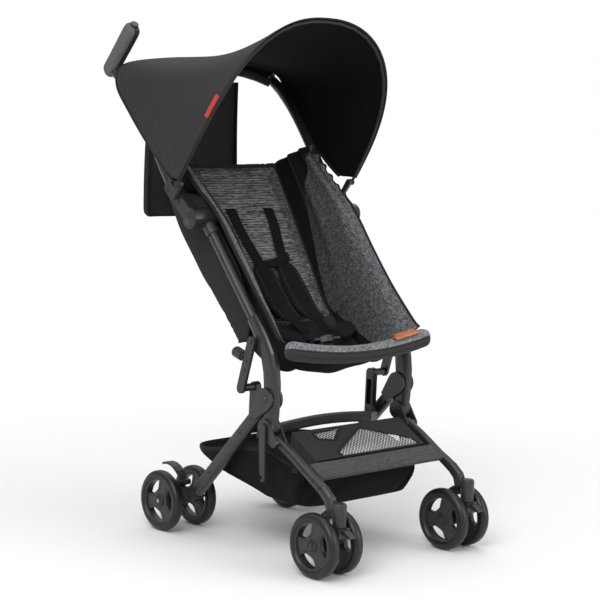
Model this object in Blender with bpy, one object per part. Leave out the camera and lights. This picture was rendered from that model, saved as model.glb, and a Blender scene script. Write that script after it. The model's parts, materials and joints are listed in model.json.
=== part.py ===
# Compact folding stroller: frame, push handles, canopy, sling seat, basket and eight wheels.
# The front faces -Y, +Z is up and X runs across. Side _r is at -X, side _l at +X.
import math

import bmesh
import bpy
from mathutils import Matrix, Vector

# Fits
GAP = 0.0003
RUN = 0.0006
SIDES = {"r": -1, "l": 1}

# The origin lies under the middle of the whole stroller
CENTRE_Y = 0.0153

# Wheels and axles
WHEEL_RADIUS = 0.0605
WHEEL_WIDTH = 0.0220
WHEEL_FACETS = 18
HUB_RADIUS = 0.0450
WEB_THICKNESS = 0.0110
BOSS_RADIUS = 0.0125
AXLE_RADIUS = 0.0040
AXLE_BORE = AXLE_RADIUS + RUN
WHEEL_WINDOWS = 3
WINDOW_INNER = 0.0215
WINDOW_OUTER = 0.0410
WINDOW_HALF_ANGLE = math.radians(33)
REAR_AXLE_Y = 0.164
REAR_WHEEL_X = (0.1243, 0.2095)
CASTER_X = 0.1716
CASTER_Y = -0.3094
CASTER_TRAIL = 0.0326
CASTER_SPREAD = 0.0294
CASTER_TOP_Z = 0.1412
CASTER_LOW_Z = 0.0985
CASTER_BARREL_RADIUS = 0.0130
STEM_RADIUS = 0.0060

# Side frame
TUBE_RADIUS = 0.0110
TUBE_X = 0.180
HINGE = Vector((0.0815, 0.631))
HINGE_RADIUS = 0.0208
HINGE_INNER_X = 0.1668
HINGE_SPLIT_X = 0.1965
HINGE_OUTER_X = 0.2196
SLEEVE_RADIUS = 0.0134
SLEEVE_LENGTH = 0.040
MEMBER_X = 0.176
MEMBER_THICKNESS = 0.020
MEMBER_DEPTH = 0.038
MEMBER_ROUTE = ((-0.066, 0.452), (-0.088, 0.425), (-0.113, 0.383), (-0.1225, 0.335), (-0.1215, 0.290),
                (-0.117, 0.250))

# Legs and the folding strut
REAR_PIVOT = Vector((-0.115, 0.304))
REAR_LEG_FOOT = Vector((0.0929, 0.0877))
REAR_LEG_DEPTH = 0.026
REAR_LEG_X = (0.165, 0.187)
CHEEK_THICKNESS = 0.0042
REAR_DISC_RADIUS = 0.022
PIVOT_PIN_RADIUS = 0.0055
FRONT_PIVOT = Vector((-0.117, 0.250))
FRONT_DISC_RADIUS = 0.0175
FRONT_LEG_FOOT_GAP = 0.0049
FRONT_LEG_BEND_Z = CASTER_TOP_Z + 0.0008
FRONT_LEG_ROUTE = ((-0.1375, 0.2285), (-0.182, 0.2065), (-0.228, 0.179),
                   (CASTER_Y + 0.0414, FRONT_LEG_BEND_Z + 0.0150),
                   (CASTER_Y + 0.0244, FRONT_LEG_BEND_Z),
                   (CASTER_Y + CASTER_BARREL_RADIUS + FRONT_LEG_FOOT_GAP, FRONT_LEG_BEND_Z - 0.0180))
FRONT_LEG_X = 0.1725
YOKE_PLACE = (-0.1440, 0.2250)
STRUT_TOP = Vector((-0.079, 0.409))
STRUT_KNEE = Vector((-0.052, 0.317))
STRUT_FOOT_ALONG = 0.0934
LINK_WIDTH = 0.0205
UPPER_LINK_X = (0.1893, 0.1953)
LOWER_LINK_X = (0.150, 0.162)

# Push handles
PUSH_X = 0.208
PUSH_ROUTE = ((0.141, 0.676), (0.178, 0.725), (0.214, 0.777), (0.258, 0.834), (0.308, 0.884),
              (0.3520, 0.9145))
GRIP_BASE = Vector((0.357, 0.9175))
GRIP_DIRECTION = Vector((-0.6575, 0.7534)).normalized()
GRIP_LENGTH = 0.110
GRIP_DEPTH = 0.038
GRIP_THICKNESS = 0.030
BUTTON_RADIUS = 0.0080
BUTTON_LENGTH = 0.014
BUTTON_PROUD = 0.006

BAR_END = Vector((0.330, 0.900))
BAR_RISE = 0.026
FLAP_HALF_WIDTH = 0.1230
FLAP_Y = 0.352
FLAP_Z = (0.900, 0.620)

# Canopy
CLIP_STANDOFF = 0.0029
CLIP_THICKNESS = 0.0065
EYE_THICKNESS = 0.0066
EYE_CLEARANCE = 0.0004
CANOPY_SPREAD = 0.0010
CLIP_X = (HINGE_OUTER_X + CLIP_STANDOFF, HINGE_OUTER_X + CLIP_STANDOFF + CLIP_THICKNESS)
EYE_X = (CLIP_X[1] + EYE_CLEARANCE, CLIP_X[1] + EYE_CLEARANCE + EYE_THICKNESS)
CANOPY_PIVOT = Vector((0.1045, 0.6956))
CANOPY_HALF_WIDTH = EYE_X[1] + CANOPY_SPREAD
CANOPY_HEIGHT = 0.397
CANOPY_TILT = 0.616
CANOPY_BULGE = 0.071
CANOPY_SAG = 0.022
CANOPY_THICKNESS = 0.0016
BOW_RADIUS = 0.0030

# Seat
SEAT_THICKNESS = 0.0050
PANEL_HALF_WIDTH = 0.120
PANEL_TOP_HALF_WIDTH = 0.145
SEAT_ROWS = 29

# Basket
BASKET_WALL = 0.0030
BASKET_FLOOR_Z = 0.103


def smooth_line(points, count):
    """Points evenly spread along a smooth curve through the given ones."""
    points = [Vector(p) for p in points]
    ends = [2 * points[0] - points[1], *points, 2 * points[-1] - points[-2]]
    dense = []
    for i in range(len(points) - 1):
        a, b, c, d = ends[i : i + 4]
        for k in range(16):
            t = k / 16
            dense.append(0.5 * (2 * b + (c - a) * t + (2 * a - 5 * b + 4 * c - d) * t**2
                                + (3 * b - a - 3 * c + d) * t**3))
    dense.append(points[-1])
    lengths = [0.0]
    for a, b in zip(dense, dense[1:]):
        lengths.append(lengths[-1] + (b - a).length)
    line = []
    k = 0
    for i in range(count):
        target = lengths[-1] * i / (count - 1)
        while k < len(dense) - 2 and lengths[k + 1] < target:
            k += 1
        span = lengths[k + 1] - lengths[k]
        line.append(dense[k].lerp(dense[k + 1], min(1.0, (target - lengths[k]) / span)))
    return line


def mix(a, b, t):
    return a + (b - a) * t


def circle(centre, radius, count, start=0.0):
    turn = 2 * math.pi / count
    return [(centre[0] + radius * math.cos(start + turn * i), centre[1] + radius * math.sin(start + turn * i))
            for i in range(count)]


def hull(points):
    """Convex outline round the points, in order."""
    points = sorted(set((round(p[0], 7), round(p[1], 7)) for p in points))

    def chain(row):
        line = []
        for p in row:
            while len(line) > 1 and ((line[-1][0] - line[-2][0]) * (p[1] - line[-2][1])
                                     - (line[-1][1] - line[-2][1]) * (p[0] - line[-2][0])) <= 0:
                line.pop()
            line.append(p)
        return line[:-1]

    return chain(points) + chain(points[::-1])


def superellipse(half_a, half_b, count, power=2.0):
    shape = []
    for i in range(count):
        angle = 2 * math.pi * (i + 0.5) / count
        c, s = math.cos(angle), math.sin(angle)
        shape.append((half_a * math.copysign(abs(c) ** (2 / power), c),
                      half_b * math.copysign(abs(s) ** (2 / power), s)))
    return shape


def material(name, colour, roughness, metallic=0.0):
    found = bpy.data.materials.get(name)
    if found:
        return found
    made = bpy.data.materials.new(name)
    made.use_nodes = True
    shader = made.node_tree.nodes["Principled BSDF"]
    shader.inputs["Base Color"].default_value = (*colour, 1)
    shader.inputs["Roughness"].default_value = roughness
    shader.inputs["Metallic"].default_value = metallic
    made.diffuse_color = (*colour, 1)
    return made


def black_alloy():
    return material("satin_black_alloy", (0.040, 0.043, 0.042), 0.42, 0.6)


def black_plastic():
    return material("black_plastic", (0.028, 0.030, 0.030), 0.55)


def steel():
    return material("zinc_steel", (0.35, 0.35, 0.36), 0.35, 1.0)


def tyre_rubber():
    return material("black_tyre", (0.022, 0.022, 0.023), 0.75)


def grip_foam():
    return material("grey_grip_foam", (0.20, 0.20, 0.21), 0.8)


def black_fabric():
    return material("black_fabric", (0.020, 0.020, 0.022), 0.9)


def melange_fabric():
    return material("grey_melange_fabric", (0.085, 0.088, 0.098), 0.95)


def light_net():
    return material("light_grey_net", (0.45, 0.45, 0.45), 0.9)


def solid(name, points, faces, surface):
    """A closed mesh object with its faces turned outwards."""
    mesh = bpy.data.meshes.new(name)
    mesh.from_pydata([tuple(p) for p in points], [], faces)
    work = bmesh.new()
    work.from_mesh(mesh)
    bmesh.ops.recalc_face_normals(work, faces=work.faces)
    work.to_mesh(mesh)
    work.free()
    mesh.materials.append(surface)
    mesh.shade_smooth()
    mesh.set_sharp_from_angle(angle=math.radians(35))
    made = bpy.data.objects.new(name, mesh)
    bpy.context.collection.objects.link(made)
    return made


def loft(name, rings, surface):
    """A solid skinned over rings of equally many points, closed flat at both ends."""
    count = len(rings[0])
    points = [p for ring in rings for p in ring]
    faces = []
    for r in range(len(rings) - 1):
        for i in range(count):
            j = (i + 1) % count
            faces.append((r * count + i, r * count + j, (r + 1) * count + j, (r + 1) * count + i))
    faces.append(tuple(range(count))[::-1])
    faces.append(tuple((len(rings) - 1) * count + i for i in range(count)))
    return solid(name, points, faces, surface)


def prism(name, outline, x_from, x_to, surface):
    """A side outline in Y and Z, given its thickness across."""
    return loft(name, [[(x, y, z) for y, z in outline] for x in (x_from, x_to)], surface)


def sweep(name, route, section, surface, across=(1, 0, 0), scales=None):
    """A section carried along a route, its first axis square to the route in the plane square to across."""
    route = [Vector(p) for p in route]
    across = Vector(across)
    rings = []
    for i, p in enumerate(route):
        ahead = (route[min(i + 1, len(route) - 1)] - route[max(i - 1, 0)]).normalized()
        side = (across - ahead * across.dot(ahead)).normalized()
        up = side.cross(ahead)
        grow_a, grow_b = scales[i] if scales else (1, 1)
        rings.append([p + up * a * grow_a + side * b * grow_b for a, b in section])
    return loft(name, rings, surface)


def rod(name, start, end, radius, surface, count=12):
    start, end = Vector(start), Vector(end)
    across = Vector((0, 0, 1)) if abs((end - start).normalized().z) < 0.7 else Vector((0, 1, 0))
    return sweep(name, (start, end), circle((0, 0), radius, count), surface, across)


def combine(target, other, operation):
    """Joins the other solid to the target, or cuts it away, and removes it."""
    change = target.modifiers.new(operation.title(), "BOOLEAN")
    change.operation = operation
    change.object = other
    change.solver = "EXACT"
    with bpy.context.temp_override(object=target, active_object=target, selected_objects=[target]):
        bpy.ops.object.modifier_apply(modifier=change.name)
    bpy.data.objects.remove(other)
    target.data.shade_smooth()
    target.data.set_sharp_from_angle(angle=math.radians(35))
    return target


def union(target, *others):
    for other in others:
        combine(target, other, "UNION")
    return target


def cut(target, *others):
    for other in others:
        combine(target, other, "DIFFERENCE")
    return target


def pivot(name, place):
    """An empty on a joint's axis."""
    made = bpy.data.objects.new(name, None)
    made.location = place
    made.empty_display_size = 0.03
    bpy.context.collection.objects.link(made)
    return made


def hang(parent, *objects):
    """Parents objects to a pivot where they stand."""
    for each in objects:
        each.parent = parent
        each.matrix_parent_inverse = Matrix.Translation(parent.location).inverted()


def grid_sheet(name, grid, thickness, surface):
    """A cloth of even thickness round a grid of points."""
    rows, columns = len(grid), len(grid[0])
    lift = []
    for i in range(rows):
        for j in range(columns):
            along = grid[min(i + 1, rows - 1)][j] - grid[max(i - 1, 0)][j]
            over = grid[i][min(j + 1, columns - 1)] - grid[i][max(j - 1, 0)]
            lift.append(along.cross(over).normalized() * thickness / 2)
    flat = [p for row in grid for p in row]
    points = [p + n for p, n in zip(flat, lift)] + [p - n for p, n in zip(flat, lift)]
    back = rows * columns
    faces = []
    for i in range(rows - 1):
        for j in range(columns - 1):
            a = i * columns + j
            quad = (a, a + 1, a + columns + 1, a + columns)
            faces += [quad, tuple(back + k for k in quad[::-1])]
    rim = [j for j in range(columns)]
    rim += [i * columns + columns - 1 for i in range(1, rows)]
    rim += [(rows - 1) * columns + j for j in range(columns - 2, -1, -1)]
    rim += [i * columns for i in range(rows - 2, 0, -1)]
    for a, b in zip(rim, rim[1:] + rim[:1]):
        faces.append((a, b, back + b, back + a))
    return solid(name, points, faces, surface)


def at(point, x):
    return Vector((x, point[0], point[1]))


# Wheels

def wheel(name, x, axle_y, surface):
    """One wheel: a rounded tyre on a web with three windows, bored for its axle."""
    half = WHEEL_WIDTH / 2
    corner = 1 / math.cos(math.pi / WHEEL_FACETS)
    edge = [
        (AXLE_BORE, half - 0.0012),
        (BOSS_RADIUS, half - 0.0012),
        (BOSS_RADIUS + 0.0015, WEB_THICKNESS / 2),
        (HUB_RADIUS, WEB_THICKNESS / 2),
        (HUB_RADIUS + 0.0025, half),
        (WHEEL_RADIUS - 0.0040, half - 0.0008),
        (WHEEL_RADIUS, half - 0.0060),
    ]
    profile = edge + [(r, -across) for r, across in edge[::-1]]
    points = []
    for i in range(WHEEL_FACETS):
        angle = 2 * math.pi * (i + 0.5) / WHEEL_FACETS
        for r, across in profile:
            reach = r * corner
            height = WHEEL_RADIUS - reach * math.cos(angle)
            points.append((x + across, axle_y + reach * math.sin(angle), height))
    count = len(profile)
    faces = []
    for i in range(WHEEL_FACETS):
        after = (i + 1) % WHEEL_FACETS
        for k in range(count):
            after_k = (k + 1) % count
            faces.append((i * count + k, i * count + after_k, after * count + after_k, after * count + k))
    made = solid(name, points, faces, surface)
    for i in range(WHEEL_WINDOWS):
        middle = 2 * math.pi * i / WHEEL_WINDOWS + math.radians(50)
        arc = [middle - WINDOW_HALF_ANGLE + WINDOW_HALF_ANGLE * k / 2 for k in range(5)]
        outline = [(axle_y + WINDOW_OUTER * math.cos(a), WHEEL_RADIUS + WINDOW_OUTER * math.sin(a))
                   for a in arc]
        for a in (arc[-1] - 0.06, middle, arc[0] + 0.06):
            reach = WINDOW_INNER / math.cos(a - middle) if a != middle else WINDOW_INNER
            outline.append((axle_y + reach * 1.04 * math.cos(a), WHEEL_RADIUS + reach * 1.04 * math.sin(a)))
        window = prism("window", hull(outline), x - WHEEL_WIDTH, x + WHEEL_WIDTH, surface)
        cut(made, window)
    return made


# Side frame

def main_tube(tag, side):
    """The straight tube from the handle hinge down to the curved side member."""
    top = at(HINGE, side * TUBE_X)
    low = at(MEMBER_ROUTE[0], side * (MEMBER_X + 0.001))
    down = (low - top).normalized()
    start = top + down * (SLEEVE_LENGTH + GAP)
    end = low - down * 3 * GAP
    return rod(f"main_tube_{tag}", start, end, TUBE_RADIUS, black_alloy(), 14)


def hinge_housing(tag, side):
    """The fixed inner half of the handle hinge with the sleeve round the tube's end."""
    top = at(HINGE, side * TUBE_X)
    low = at(MEMBER_ROUTE[0], side * (MEMBER_X + 0.001))
    down = (low - top).normalized()
    barrel = prism(f"hinge_housing_{tag}", circle(HINGE, HINGE_RADIUS, 20), side * HINGE_INNER_X,
                   side * (HINGE_SPLIT_X - GAP), black_plastic())
    sleeve = rod("sleeve", top, top + down * SLEEVE_LENGTH, SLEEVE_RADIUS, black_plastic(), 14)
    return union(barrel, sleeve)


def side_member(tag, side):
    """The curved moulded member that carries both legs, with the strut's lug on its rear edge."""
    route = [at(p, side * MEMBER_X) for p in smooth_line(MEMBER_ROUTE, 9)]
    section = superellipse(MEMBER_DEPTH / 2, MEMBER_THICKNESS / 2, 12, 3.2)
    scales = []
    for i in range(len(route)):
        grow = min(1.0, i / 3)
        scales.append((mix(0.72, 1.0, grow), mix(1.12, 1.0, grow)))
    body = sweep(f"side_member_{tag}", route, section, black_alloy(), scales=scales)
    toe = prism("toe", circle(FRONT_PIVOT, MEMBER_DEPTH / 2 - 0.0003, 20), side * 0.1664, side * 0.1856,
                black_alloy())
    lug = prism("lug", hull(circle(STRUT_TOP, 0.0115, 12) + circle((-0.098, 0.398), 0.012, 12)),
                side * 0.1672, side * 0.1848, black_alloy())
    pin = rod("pin", at(STRUT_TOP, side * 0.175), at(STRUT_TOP, side * (UPPER_LINK_X[1] + 0.0014)), 0.0040,
              black_alloy())
    union(body, toe, lug, pin)
    reach = MEMBER_THICKNESS
    for centre in (REAR_PIVOT, FRONT_PIVOT):
        cut(body, rod("bore", at(centre, side * (MEMBER_X - reach)), at(centre, side * (MEMBER_X + reach)),
                      PIVOT_PIN_RADIUS + RUN, black_alloy()))
    return body


def upper_link(tag, side):
    """The strut's outer bar, with the knee's barrel reaching in to the lower link."""
    near, far = (side * x for x in UPPER_LINK_X)
    outline = hull(circle(STRUT_TOP, LINK_WIDTH / 2, 12) + circle(STRUT_KNEE, LINK_WIDTH / 2, 12))
    body = prism(f"upper_link_{tag}", outline, near, far, black_alloy())
    knee_inner = at(STRUT_KNEE, side * (LOWER_LINK_X[1] + 0.0005))
    barrel = rod("barrel", knee_inner, at(STRUT_KNEE, side * 0.192), 0.0075,
                 black_alloy())
    union(body, barrel)
    for t in (0.42, 0.60):
        middle = STRUT_TOP.lerp(STRUT_KNEE, t)
        head = at(middle, far + side * 0.0012)
        union(body, rod("rivet", at(middle, side * 0.192), head, 0.0030, black_alloy(), 8))
    bore = rod("bore", at(STRUT_TOP, side * 0.180), at(STRUT_TOP, side * 0.200), 0.0040 + RUN, black_alloy())
    return cut(body, bore)


def strut_foot():
    along = (REAR_LEG_FOOT - REAR_PIVOT).normalized()
    return REAR_PIVOT + along * STRUT_FOOT_ALONG


def lower_link(tag, side):
    """The strut's inner channel, hooked at the knee and bored on the rear leg's pin."""
    foot = strut_foot()
    near, far = (side * x for x in LOWER_LINK_X)
    outline = hull(circle(foot, LINK_WIDTH / 2, 12) + circle(STRUT_KNEE, LINK_WIDTH / 2, 12))
    body = prism(f"lower_link_{tag}", outline, near, far, black_alloy())
    upright = (STRUT_KNEE - foot).normalized()
    square = Vector((-upright.y, upright.x))
    inside = [foot + upright * 0.016 + square * 0.0065, foot + upright * 0.016 - square * 0.0065,
              STRUT_KNEE - upright * 0.013 - square * 0.0065, STRUT_KNEE - upright * 0.013 + square * 0.0065]
    channel = prism("channel", inside, near - side * 0.004, far - side * 0.003, black_alloy())
    bore = rod("bore", at(foot, side * 0.140), at(foot, side * 0.170), AXLE_RADIUS + RUN, black_alloy())
    return cut(body, channel, bore)


def cross_band():
    """The bowed flat band between the two lower links."""
    reach = LOWER_LINK_X[1] - 0.002
    front = strut_foot().x - LINK_WIDTH / 2
    route = []
    for i in range(13):
        x = mix(-reach, reach, i / 12)
        rise = 0.011 * math.cos(math.pi / 2 * x / reach)
        lean = 0.012 * min(1.0, (reach - abs(x)) / 0.03)
        route.append((x, front - 0.0035 - lean, 0.2300 + rise))
    section = superellipse(0.0110, 0.0027, 8, 4.0)
    band = sweep("cross_band", route, section, black_plastic(), across=(0, 1, 0))
    return band


def rear_leg(tag, side):
    """The rear leg: a deep oval tube with a fork round the side member and the strut's foot pin."""
    along = (REAR_LEG_FOOT - REAR_PIVOT).normalized()
    square = Vector((-along.y, along.x))
    start = REAR_PIVOT + along * 0.036
    half = (REAR_LEG_X[1] - REAR_LEG_X[0]) / 2
    middle = side * (REAR_LEG_X[0] + half)
    section = superellipse(REAR_LEG_DEPTH / 2, half, 12, 3.0)
    body = sweep(f"rear_leg_{tag}", (at(start, middle), at(REAR_LEG_FOOT, middle)), section, black_alloy())
    outline = circle(REAR_PIVOT, REAR_DISC_RADIUS, 20)
    outline += [start + along * 0.010 + square * 0.011, start + along * 0.010 - square * 0.011]
    inner_face = side * (MEMBER_X - MEMBER_THICKNESS / 2 - 0.0006)
    outer_face = side * (MEMBER_X + MEMBER_THICKNESS / 2 + 0.0006)
    thick = side * CHEEK_THICKNESS
    union(body, prism("cheek", hull(outline), inner_face - thick, inner_face, black_alloy()),
          prism("cheek", hull(outline), outer_face, outer_face + thick, black_alloy()),
          rod("pin", at(REAR_PIVOT, inner_face - thick / 2), at(REAR_PIVOT, outer_face + thick / 2),
              PIVOT_PIN_RADIUS, black_alloy()))
    foot = strut_foot()
    boss_end, pin_end = (at(foot, side * x) for x in (LOWER_LINK_X[1] + GAP, LOWER_LINK_X[0] + 0.001))
    union(body, rod("boss", boss_end, at(foot, middle), 0.0085, black_alloy()),
          rod("pin", pin_end, at(foot, middle), AXLE_RADIUS, black_alloy()))
    return body


def rear_housing(tag, side):
    """The moulded foot of the rear leg round the axle, with the brake's pivot ears."""
    along = (REAR_LEG_FOOT - REAR_PIVOT).normalized()
    square = Vector((-along.y, along.x))
    face = REAR_LEG_FOOT + along * GAP
    axle = (REAR_AXLE_Y, WHEEL_RADIUS)
    outline = [face + square * 0.0145, face - square * 0.0145, *circle(axle, 0.0185, 16)]
    block = prism(f"rear_axle_housing_{tag}", hull(outline), side * 0.1630, side * 0.1890, black_plastic())
    clear = WHEEL_WIDTH / 2 + 0.0012
    inner_end, outer_end = (at(axle, side * x) for x in (REAR_WHEEL_X[0] + clear, REAR_WHEEL_X[1] - clear))
    barrel = rod("barrel", inner_end, outer_end,
                 0.0150, black_plastic(), 16)
    bore = rod("bore", at(axle, side * 0.120), at(axle, side * 0.215), AXLE_BORE, black_plastic())
    return cut(union(block, barrel), bore)


def rear_axle(tag, side):
    """The steel rod that both rear wheels of a side turn on."""
    axle = (REAR_AXLE_Y, WHEEL_RADIUS)
    inner = REAR_WHEEL_X[0] - WHEEL_WIDTH / 2 + 0.001
    outer = REAR_WHEEL_X[1] + WHEEL_WIDTH / 2 - 0.001
    return rod(f"rear_axle_{tag}", at(axle, side * inner), at(axle, side * outer), AXLE_RADIUS, steel())


BRAKE_PIVOT = Vector((0.1500, 0.0940))
BRAKE_WIDTH = 0.0210
BRAKE_ROUTE = ((0.1500, 0.0940), (0.1555, 0.1090), (0.1690, 0.1210), (0.1880, 0.1275), (0.2060, 0.1245))


def brake_pedal(tag, side):
    """The curved foot pedal above the rear axle."""
    route = [at(p, side * 0.167) for p in smooth_line(BRAKE_ROUTE, 7)]
    section = superellipse(0.0026, BRAKE_WIDTH / 2, 8, 5.0)
    scales = [(1, mix(0.75, 1.0, min(1, i / 2))) for i in range(7)]
    leaf = sweep(f"brake_pedal_{tag}", route, section, black_plastic(), scales=scales)
    ends = (at(BRAKE_PIVOT, side * 0.151), at(BRAKE_PIVOT, side * 0.183))
    barrel = rod("barrel", *ends, 0.0060, black_plastic())
    return union(leaf, barrel)


def front_leg(tag, side):
    """The front leg: a fork on the side member's toe, an oval tube and the thicker caster sleeve."""
    route = [at(p, side * FRONT_LEG_X) for p in smooth_line(FRONT_LEG_ROUTE, 10)]
    section = superellipse(0.0100, 0.0090, 10, 2.6)
    scales = [(mix(0.92, 1.28, max(0, (i - 5) / 4)), mix(1.0, 1.08, max(0, (i - 5) / 4))) for i in range(10)]
    body = sweep(f"front_leg_{tag}", route, section, black_alloy(), scales=scales)
    inner_face = side * (MEMBER_X - MEMBER_THICKNESS / 2 - 0.0006)
    outer_face = side * (MEMBER_X + MEMBER_THICKNESS / 2 + 0.0006)
    thick = side * 0.0036
    outline = hull(circle(FRONT_PIVOT, FRONT_DISC_RADIUS, 16) + circle((-0.1440, 0.2250), 0.0085, 10))
    union(body, prism("cheek", outline, inner_face - thick, inner_face, black_alloy()),
          prism("cheek", outline, outer_face, outer_face + thick, black_alloy()),
          rod("pin", at(FRONT_PIVOT, inner_face - thick / 2), at(FRONT_PIVOT, outer_face + thick / 2),
              PIVOT_PIN_RADIUS, black_alloy()),
          rod("yoke", at(YOKE_PLACE, inner_face - thick / 2), at(YOKE_PLACE, outer_face + thick / 2),
              0.0080, black_alloy(), 10))
    x = side * CASTER_X
    saddle = rod("saddle", (x, CASTER_Y, CASTER_LOW_Z - 0.02), (x, CASTER_Y, CASTER_TOP_Z + 0.03),
                 CASTER_BARREL_RADIUS + 0.0007, black_alloy(), 24)
    return cut(body, saddle)




def caster_housing(tag, side):
    """The upright barrel that the caster's stem turns in."""
    x = side * CASTER_X
    rings = []
    for z, r in ((CASTER_LOW_Z, CASTER_BARREL_RADIUS), (CASTER_TOP_Z - 0.003, CASTER_BARREL_RADIUS),
                 (CASTER_TOP_Z, CASTER_BARREL_RADIUS - 0.0025)):
        rings.append([(x + a, CASTER_Y + b, z) for a, b in circle((0, 0), r, 16)])
    body = loft(f"caster_housing_{tag}", rings, black_plastic())
    bottom, roof = (x, CASTER_Y, CASTER_LOW_Z - 0.01), (x, CASTER_Y, CASTER_TOP_Z - 0.012)
    bore = rod("bore", bottom, roof, STEM_RADIUS + RUN,
               black_plastic())
    return cut(body, bore)


def caster_fork(tag, side):
    """The turning caster: stem, body between the wheels and the axle rod."""
    x = side * CASTER_X
    axle = (CASTER_Y + CASTER_TRAIL, WHEEL_RADIUS)
    top = CASTER_LOW_Z - 0.0015
    outline = circle(axle, 0.0150, 14) + [(CASTER_Y - 0.0140, top), (CASTER_Y + 0.0150, top),
                                          (CASTER_Y - 0.0140, top - 0.018), (CASTER_Y + 0.026, top - 0.004)]
    body = prism(f"caster_fork_{tag}", hull(outline), x - 0.0140, x + 0.0140, black_plastic())
    stem_ends = (x, CASTER_Y, top - 0.01), (x, CASTER_Y, CASTER_TOP_Z - 0.014)
    stem = rod("stem", *stem_ends, STEM_RADIUS, black_plastic())
    reach = CASTER_SPREAD + WHEEL_WIDTH / 2 - 0.001
    boss = rod("boss", at(axle, x - 0.0178), at(axle, x + 0.0178), 0.0100, black_plastic())
    axle_rod = rod("axle", at(axle, x - reach), at(axle, x + reach), AXLE_RADIUS, black_plastic())
    return union(body, stem, boss, axle_rod)


LOCK_PIVOT = Vector((CASTER_Y - 0.0190, 0.0905))


def swivel_lock(tag, side):
    """The small flip tab on the front of a caster that locks it straight."""
    x = side * CASTER_X
    tip = LOCK_PIVOT + Vector((-0.0150, -0.0060))
    outline = hull(circle(LOCK_PIVOT, 0.0042, 10) + circle(tip, 0.0022, 8))
    return prism(f"swivel_lock_{tag}", outline, x - 0.0075, x + 0.0075, black_plastic())


LATCH_X = (0.1912, 0.1952)


def storage_latch(tag, side):
    """The hook that hangs at the front leg's pivot and holds the folded frame shut."""
    drop = Vector((-0.0035, -0.0840))
    low = FRONT_PIVOT + drop
    blade = hull(circle(FRONT_PIVOT, 0.0090, 12) + circle(low, 0.0070, 10))
    body = prism(f"storage_latch_{tag}", blade, side * LATCH_X[0], side * LATCH_X[1], black_plastic())
    tip = circle(low + Vector((-0.0030, -0.0140)), 0.0028, 8)
    hook = hull(circle(low + Vector((-0.0035, -0.001)), 0.0035, 8) + tip)
    barb = hull(tip + circle(low + Vector((0.0040, -0.0150)), 0.0016, 8))
    for name, outline, step in (("hook", hook, 0.0003), ("barb", barb, 0.0006)):
        inner, outer = side * (LATCH_X[0] + step), side * (LATCH_X[1] - step)
        union(body, prism(name, outline, inner, outer, black_plastic()))
    return body


def footrest():
    """The ribbed cross strip between the front legs."""
    reach = FRONT_LEG_X - 0.0102
    rear, front = Vector((-0.2180, 0.1960)), Vector((-0.2520, 0.1760))
    down = Vector((front - rear).normalized())
    under = Vector((-down.y, down.x)) * 0.0045
    if under.y > 0:
        under = -under
    outline = [rear]
    ribs = 4
    for i in range(ribs):
        for t, dip in ((0.35, 0), (0.5, 0.0010), (0.65, 0)):
            spot = rear.lerp(front, (i + t) / ribs)
            outline.append(spot + under.normalized() * dip)
    outline += [front, front + under * 1.6, front + under * 1.6 - down * 0.003, front + under - down * 0.004,
                rear + under]
    return prism("footrest_strip", [tuple(p) for p in outline], -reach, reach, black_plastic())


def lock_knob():
    """The ribbed knob that points back from the right strut."""
    middle = STRUT_TOP.lerp(STRUT_KNEE, 0.38)
    along = (STRUT_KNEE - STRUT_TOP).normalized()
    back = Vector((-along.y, along.x))
    if back.x < 0:
        back = -back
    start = middle + back * (LINK_WIDTH / 2 + GAP)
    ribs = 18
    rings = []
    for reach, radius in ((0.0, 0.0075), (0.006, 0.0075), (0.0062, 0.0105), (0.028, 0.0108), (0.031, 0.0085)):
        ring = []
        for i in range(ribs * 2):
            angle = math.pi * i / ribs
            r = radius - (0.0006 if i % 2 and 0.0061 < reach < 0.030 else 0)
            offset = Vector((math.cos(angle) * r, math.sin(angle) * r))
            spot = at(start + back * reach, -0.1900)
            ring.append(spot + Vector((offset.x, along.x * offset.y, along.y * offset.y)))
        rings.append(ring)
    return loft("lock_knob", rings, black_plastic())


# Push handles

def push_tube(tag, side):
    """The upper handle tube with its moulded arm and the outer half of the hinge."""
    x = side * PUSH_X
    route = [at(p, x) for p in smooth_line(PUSH_ROUTE, 13)]
    body = sweep(f"push_tube_{tag}", route, circle((0, 0), TUBE_RADIUS, 14), black_alloy())
    cap = circle(HINGE, HINGE_RADIUS, 20)
    arm = hull(circle(HINGE, 0.0150, 14) + circle((0.150, 0.686), 0.0128, 12))
    union(body, prism("arm", arm, side * (HINGE_SPLIT_X + 0.0010), side * 0.2188, black_plastic()),
          prism("cap", cap, side * HINGE_SPLIT_X, side * HINGE_OUTER_X, black_plastic()))
    for spot in ((0.155, 0.681), (0.120, 0.661)):
        head = at(spot, side * 0.2200)
        union(body, rod("screw", at(spot, side * 0.214), head, 0.0046, black_plastic(), 10))
    return body


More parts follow.
